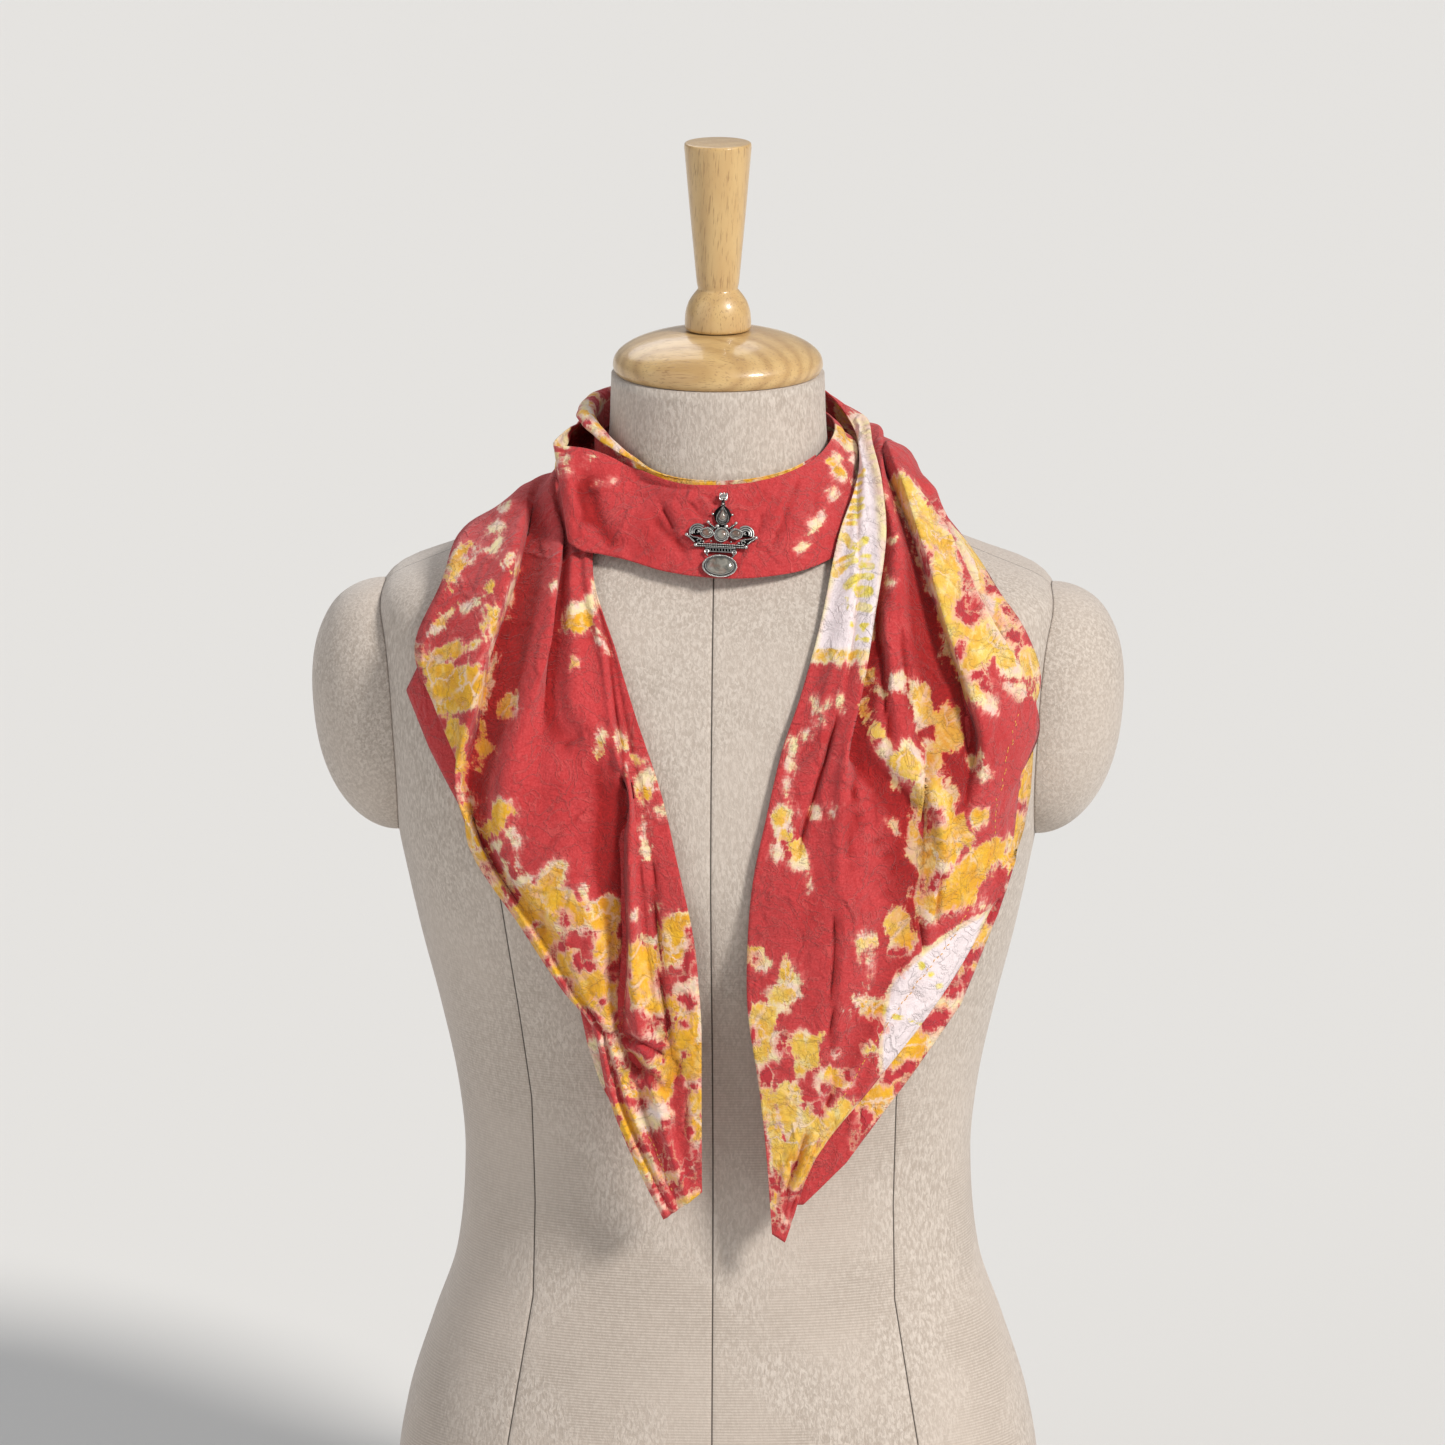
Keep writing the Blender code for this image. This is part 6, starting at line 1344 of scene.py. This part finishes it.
def stacked(bm, levels):
    """A closed shape drawn up from its first outline by extruding it level by level."""
    base, height = levels[0]
    ring = bmesh.ops.create_circle(bm, cap_ends=True, segments=len(base), radius=1)["verts"]
    for vert, (u, v) in zip(ring, base):
        vert.co = (u, v, height)
    for points, height in levels[1:]:
        inside, near = set(ring), {e for v in ring for e in v.link_edges}
        edges = [e for e in near if e.verts[0] in inside and e.verts[1] in inside]
        grown = bmesh.ops.extrude_edge_only(bm, edges=edges)["geom"]
        fresh = {item for item in grown if isinstance(item, bmesh.types.BMVert)}
        ring = [next(e.other_vert(v) for e in v.link_edges if e.other_vert(v) in fresh) for v in ring]
        for vert, (u, v) in zip(ring, points):
            vert.co = (u, v, height)
    bmesh.ops.contextual_create(bm, geom=ring)


def beads(bm, places, fine=2):
    for u, v, w, radius in places:
        spot = Matrix.Translation((u, v, w))
        bmesh.ops.create_icosphere(bm, subdivisions=fine, radius=radius, matrix=spot)


def grains(bm, path, pitch, height, radius, side=1):
    """A row of small beads along a path, at the left when the side is -1."""
    beads(bm, [(side * u, v, height, radius) for u, v in along(path, pitch)])


def along(path, pitch):
    """Points a pitch apart along a closed or open path of flat places."""
    path = np.array(path, float)
    run = np.concatenate([[0], np.cumsum(np.linalg.norm(np.diff(path, axis=0), axis=1))])
    at = np.linspace(0, run[-1], max(2, round(run[-1] / pitch)) + 1)
    return np.stack([np.interp(at, run, path[:, 0]), np.interp(at, run, path[:, 1])], axis=1)


def rope_rim(bm, points, radius, height):
    """Grains set touching round a rim, each a little leaning, as twisted wire looks."""
    middle_u, middle_v = np.mean(points, axis=0)
    for u, v in along(points + points[:1], radius * 1.55)[:-1]:
        turn = math.atan2(v - middle_v, u - middle_u) + rope_lean
        shape = Matrix.Rotation(turn, 4, "Z") @ Matrix.Diagonal((*rope_grain, 1, 1))
        spot = Matrix.Translation((u, v, height)) @ shape
        bmesh.ops.create_icosphere(bm, subdivisions=2, radius=radius, matrix=spot)


def wire(bm, path, radius, height, steps=8):
    """A round wire bent along a flat path, with closed ends."""
    places = along(path, radius * 1.1)
    loops = []
    for k, (u, v) in enumerate(places):
        ahead, behind = places[min(k + 1, len(places) - 1)], places[max(k - 1, 0)]
        turn = math.atan2(ahead[1] - behind[1], ahead[0] - behind[0])
        facing = Matrix.Rotation(turn, 4, "Z") @ Matrix.Rotation(math.pi / 2, 4, "Y")
        spot = Matrix.Translation((u, v, height)) @ facing
        closed = k in (0, len(places) - 1)
        ring = bmesh.ops.create_circle(bm, cap_ends=closed, segments=steps, radius=radius, matrix=spot)
        edges = list({e for v in ring["verts"] for e in v.link_edges})
        if loops:
            bmesh.ops.bridge_loops(bm, edges=loops[-1] + edges)
        loops.append(edges)


def plate(bm, corners, low, high, edge=0.12):
    """A flat plate with its upper edge eased."""
    middle = np.mean(corners, axis=0)
    points = [tuple(p) for p in along(corners + corners[:1], 1.4)[:-1]]
    shrunk = [tuple(middle + (np.array(p) - middle) * (1 - edge / 3)) for p in points]
    stacked(bm, [(points, low), (points, high - edge), (shrunk, high)])


def brooch_piece(name, bm, finish, nodes, smooth):
    lift = [vert.co.z for vert in bm.verts]
    for vert in bm.verts:
        vert.co.z -= vert.co.x**2 / (2 * brooch_bend)
    bmesh.ops.recalc_face_normals(bm, faces=bm.faces)
    bmesh.ops.transform(bm, matrix=Matrix.Scale(MM, 4) @ brooch_seat, verts=bm.verts)
    mesh = mesh_of(name, bm)
    mesh.attributes.new("lift", "FLOAT", "POINT").data.foreach_set("value", lift)
    mesh.shade_smooth()
    mesh.set_sharp_from_angle(angle=math.radians(smooth))
    mesh.materials.append(finish)
    piece = placed(name, mesh)
    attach(piece, "root")
    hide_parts(*nodes)


metal = bmesh.new()
for shape, across, up, half_width, half_height, turn, wide, tall in cups:
    large = half_width > 5
    place = (56 if large else 36, across, up, turn)
    outer = outline(shape, half_width, half_height, *place)
    lip = outline(shape, half_width - 0.35, half_height - 0.35, *place)
    inner = outline(shape, half_width * wide + 0.35, half_height * tall + 0.35, *place)
    seat = outline(shape, half_width * wide + 0.1, half_height * tall + 0.1, *place)
    levels = [(outer, 0.1), (outer, 1.0), (lip, 1.35), (inner, 1.2), (inner, 2.2), (seat, 2.35), (seat, 1.1)]
    stacked(metal, levels)
    if shape == "drop":
        rope_rim(metal, outline(shape, half_width + 0.75, half_height + 0.35, *place), 0.42, 1.0)
    else:
        rim = outline(shape, half_width - 0.1, half_height - 0.1, *place)
        rope_rim(metal, rim, 0.46 if large else 0.4, 1.35)
bar = [(13.6, -6.0), (13.0, -6.9), (-13.0, -6.9), (-13.6, -6.0), (-13.0, -5.1), (13.0, -5.1)]
plate(metal, bar, 0.1, 1.0)
for v in (-5.35, -6.55):
    beads(metal, [(u, v, 1.15, 0.5) for u in np.arange(-12.9, 13.0, 0.96)])
beads(metal, [(side * 13.7, -6.0, 1.0, 1.15) for side in (-1, 1)], 3)
plate(metal, [(8.6, -9.7), (-8.6, -9.7), (-8.6, -7.1), (8.6, -7.1)], 0.1, 0.5)
for v in (-7.35, -9.45):
    plate(metal, [(8.7, v - 0.24), (-8.7, v - 0.24), (-8.7, v + 0.24), (8.7, v + 0.24)], 0.3, 1.5)
for k in range(8):
    u = -5.6 + 1.6 * k
    plate(metal, [(u + 0.26, -9.5), (u - 0.26, -9.5), (u - 0.26, -7.3), (u + 0.26, -7.3)], 0.3, 1.45)
for side in (-1, 1):
    eye = [(side * 7.5 + 1.05 * math.cos(a), -9.4 + 1.05 * math.sin(a)) for a in np.linspace(-1.2, 4.6, 20)]
    wire(metal, eye, 0.45, 1.3)
    wire(metal, [(side * 7.6, -10.4), (side * 7.2, -11.4), (side * 6.4, -12.2)], 0.42, 1.0)
    beads(metal, [(side * 7.5, -9.4, 1.2, 0.5)])
    for radius, width in ((4.3, 0.5), (3.15, 0.5), (2.0, 0.48)):
        arc = [
            (side * (13.0 + radius * math.cos(a)), 1.2 + radius * math.sin(a))
            for a in np.radians(np.linspace(-24, 172 - 8 * radius, 26))
        ]
        wire(metal, arc, width, 1.35 - radius * 0.05)
    wire(metal, [(side * 13.0, 2.2), (side * 12.2, 1.6), (side * 12.6, 0.8), (side * 13.4, 1.0)], 0.42, 1.2)
    fan = [
        (side * (13.0 + 4.2 * math.cos(a)), 1.2 + 4.2 * math.sin(a))
        for a in np.radians(np.linspace(-20, 125, 12))
    ]
    plate(metal, [(side * 11.6, -0.4), *fan], 0.1, 0.7)
    arm = [
        (19.0, -0.5), (18.3, 0.3), (17.5, -0.8), (12.6, -1.7), (10.4, -2.9), (9.2, -4.75), (13.0, -4.75),
        (15.8, -3.0),
    ]
    plate(metal, [(side * u, v) for u, v in arm], 0.1, 0.8)
    beads(metal, [(side * 18.9, -0.4, 1.2, 1.05)], 3)
    grains(metal, [(18.0, -1.3), (16.4, -2.5), (14.6, -4.2)], 0.95, 1.15, 0.55, side)
    grains(metal, [(17.2, -0.8), (15.0, -1.6), (12.6, -1.9), (10.6, -2.6)], 0.9, 1.1, 0.48, side)
    curl = [(12.0 + 1.0 * math.cos(a), -3.7 + 1.0 * math.sin(a)) for a in np.linspace(0.4, 5.2, 7)]
    beads(metal, [(side * u, v, 1.1, 0.48) for u, v in curl])
    for u, v, w, radius in (
        (9.6, -4.1, 1.1, 0.62), (2.4, 4.7, 1.35, 1.15), (5.4, -3.7, 1.0, 0.6),
        (7.6, 6.9, 1.2, 0.9), (5.3, 11.4, 1.1, 0.75), (4.4, 14.0, 1.0, 0.4),
    ):
        beads(metal, [(side * u, v, w, radius)], 3)
    grains(metal, [(3.7, 3.7), (5.0, 4.5), (6.2, 5.5), (7.1, 6.2)], 0.95, 1.1, 0.56, side)
    grains(metal, [(4.6, 2.9), (5.6, 3.6), (7.6, 3.9)], 0.9, 1.0, 0.42, side)
plate(metal, [(3.4, 3.6), (3.6, 5.0), (2.4, 6.2), (-2.4, 6.2), (-3.6, 5.0), (-3.4, 3.6)], 0.1, 0.9)
plate(metal, [(7.8, 6.4), (6.6, 6.6), (3.0, 3.6), (4.6, 2.6)], 0.1, 0.7)
plate(metal, [(-4.6, 2.6), (-3.0, 3.6), (-6.6, 6.6), (-7.8, 6.4)], 0.1, 0.7)
drop_back = [
    (4.9, 11.4), (3.2, 14.4), (0.9, 16.4), (-0.9, 16.4), (-3.2, 14.4), (-4.9, 11.4), (-3.6, 7.2), (0, 5.9),
    (3.6, 7.2),
]
plate(metal, drop_back, 0.1, 0.8)
plate(metal, [(1.1, 15.6), (0.9, 19.4), (-0.9, 19.4), (-1.1, 15.6)], 0.1, 1.1)
beads(metal, [(0.0, 17.1, 1.3, 0.75), (-0.95, 16.2, 1.1, 0.4), (0.95, 16.2, 1.1, 0.4)])
bmesh.ops.create_cone(
    metal, cap_ends=True, segments=24, radius1=1.45, radius2=1.45, depth=2.9,
    matrix=Matrix.Translation((0, 21.2, 1.3)) @ Matrix.Rotation(math.pi / 2, 4, "Y"),
)
for u in (-1.5, 1.5):
    loop = [(u + 0.55 * math.cos(a), 21.2 + 2.0 * math.sin(a)) for a in np.linspace(0, 6.28, 20)]
    wire(metal, loop, 0.42, 1.5)
beads(metal, [(-0.8, 19.5, 1.4, 0.6), (0.8, 19.5, 1.4, 0.6), (0, 22.9, 1.5, 0.6)])

made, sheet, shader = finish_of("oxidised_silver", {"Metallic": 1.0})
place = sheet.node("TexCoord", out="Object")
lift = sheet.node("Attribute", {"attribute_name": "lift"}, out="Fac")
smudge = place.noise(900, 4)
bright = (lift + (smudge - 0.5) * 0.9).step(0.95, 1.9)
colour = bright.tint(srgb(24, 22, 22), srgb(200, 198, 194))
colour.into(shader, "Base Color")
(0.5 - bright * 0.26 + smudge * 0.08).into(shader, "Roughness")
smudge.bump(0.04).into(shader, "Normal")
silver_nodes = ["setting_" + word for word in ("centre", "leaf_left", "leaf_right", "drop", "oval")]
silver_nodes += ["bar", "rail", "yoke", "neck", "bail"]
silver_nodes += [part + word for part in ("arm_", "fan_", "leg_") for word in ("left", "right")]
brooch_piece("brooch_metalwork", metal, made, ["brooch_" + n for n in silver_nodes], 45)

# The brooch's stones: five low-domed grey glass cabochons, clouded with green and brown,
# clamped in their cups.
dome_levels = [(1.0, 1.15), (1.0, 2.1), (0.96, 2.4), (0.86, 2.8), (0.7, 3.15), (0.48, 3.4), (0.22, 3.52)]
stone_girdle, small_dome = 2.1, 0.75
stones = bmesh.new()
for shape, across, up, half_width, half_height, turn, wide, tall in cups:
    large = half_width > 5
    place = (56 if large else 32, across, up, turn)
    levels = []
    for share, rise in dome_levels:
        if rise > stone_girdle and not large:
            rise = stone_girdle + (rise - stone_girdle) * small_dome
        levels.append((outline(shape, half_width * wide * share, half_height * tall * share, *place), rise))
    stacked(stones, levels)
made, sheet, shader = finish_of(
    "grey_glass", {"Roughness": 0.12, "Specular IOR Level": 0.7, "Coat Weight": 1.0, "Coat Roughness": 0.03}
)
place = sheet.node("TexCoord", out="Object")
cloudy = place.noise(190, 3, 0.5, 0.8)
brown = place.noise(120, 2, 0.5)
colour = cloudy.step(0.35, 0.65).tint(srgb(74, 76, 70), srgb(140, 136, 126))
colour = (brown.step(0.5, 0.68) * 0.7).tint(colour, srgb(128, 86, 66))
colour.into(shader, "Base Color")
brooch_piece(
    "brooch_stones", stones, made,
    ["brooch_stone_" + word for word in ("centre", "leaf_left", "leaf_right", "drop", "oval")], 60,
)

# The hem's sewing: one row of running stitches in golden thread, 13 mm in from the edges,
# laid on the cloth it holds.
left_hem = [[(-39.6, 276.2), (-36.3, 267.8), (-32.4, 257), (-28, 245.8), (-24.2, 237.3)]]
right_hem = [
    [(154.6, 460.3), (152.9, 440.5), (149.6, 425.3), (141.9, 406.1), (133.7, 389.1), (124.3, 374.5),
     (113.9, 360.9), (101.2, 344), (89.7, 327.6), (73.2, 298.8), (64.4, 284.1)],
    [(166.7, 507.7), (163.4, 495.3), (160.1, 481.7), (156.2, 463.1)],
]
stitch_pitch, stitch_length, stitch_thick = 3.1, 2.2, 0.3
stitch_least, stitch_most = 0.5, 8  # a nearer or farther pair of places isn't on the hem


def sewn_along(bm, path, points, seen, ways):
    flat_points, flat_seen, flat_ways = points.reshape(-1, 3), seen.reshape(-1, 2), ways.reshape(-1, 3)
    places = []
    for spot in along(path, stitch_pitch):
        nearest = np.argsort(np.linalg.norm(flat_seen - spot, axis=1))[:6]
        front = nearest[np.argmin(flat_points[nearest][:, 1])]
        places.append((Vector(flat_points[front]), Vector(flat_ways[front])))
    for (here, out), (ahead, _) in zip(places, places[1:]):
        run = ahead - here
        if not stitch_least < run.length < stitch_most:
            continue
        run.normalize()
        side = out.cross(run).normalized()
        turn = Matrix((run, side, run.cross(side))).transposed().to_4x4()
        rest = here + out * (cloth_wall / 2 + stitch_thick * 0.35)
        shape = Matrix.Diagonal((stitch_length / 2 / stitch_thick, 1, 1, 1))
        spot = Matrix.Translation(rest) @ turn @ shape
        bmesh.ops.create_icosphere(bm, subdivisions=1, radius=stitch_thick, matrix=spot)


bm = bmesh.new()
for path in left_hem:
    sewn_along(bm, path, left_points, as_seen(left_points), left_ways)
tail = right_places > tail_first
for path in right_hem:
    sewn_along(bm, path, right_points[tail], as_seen(right_points[tail]), right_ways[tail])
bmesh.ops.recalc_face_normals(bm, faces=bm.faces)
bmesh.ops.scale(bm, vec=(MM, MM, MM), verts=bm.verts)
mesh = mesh_of("scarf_hem_stitches", bm)
mesh.shade_smooth()
made, sheet, shader = finish_of("golden_thread", {"Roughness": 0.6, "Sheen Weight": 0.2})
twist = sheet.node("TexCoord", out="Object").noise(2500, 1, 0.5)
colour = twist.step(0.3, 0.7).tint(srgb(196, 128, 40), srgb(236, 182, 84))
colour.into(shader, "Base Color")
mesh.materials.append(made)
hem_stitches = placed("scarf_hem_stitches", mesh)
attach(hem_stitches, "root")

# The floor and light: a plain pale floor under one soft light high at the right of the
# camera, a weak broad one at the left, another from behind and an even pale sky.
bm = bmesh.new()
bmesh.ops.create_grid(bm, x_segments=1, y_segments=1, size=30)
floor = placed("floor", mesh_of("floor", bm))
floor_paint, _, _ = finish_of("floor_paint", {"Base Color": (0.7, 0.69, 0.67), "Roughness": 0.9})
floor.data.materials.append(floor_paint)
for name, place, soft, strength, tint in (
    ("key", (1.5, -1.25, 1.45), 12, 3.1, (1, 0.97, 0.93)),
    ("side", (-1.6, -1.2, 0.8), 60, 0.5, (0.97, 0.98, 1)),
    ("rim", (-0.6, 2.0, 1.8), 40, 0.7, (1, 1, 1)),
):
    light = bpy.data.lights.new(name, "SUN")
    light.angle, light.energy, light.color = math.radians(soft), strength, tint
    lamp = placed(name, light)
    lamp.matrix_world = (-Vector(place)).to_track_quat("-Z", "Y").to_matrix().to_4x4()
world = bpy.data.worlds.new("room")
bpy.context.scene.world = world
world.use_nodes = True
world.node_tree.nodes["Background"].inputs["Color"].default_value = (0.8, 0.82, 0.86, 1)
world.node_tree.nodes["Background"].inputs["Strength"].default_value = 0.4
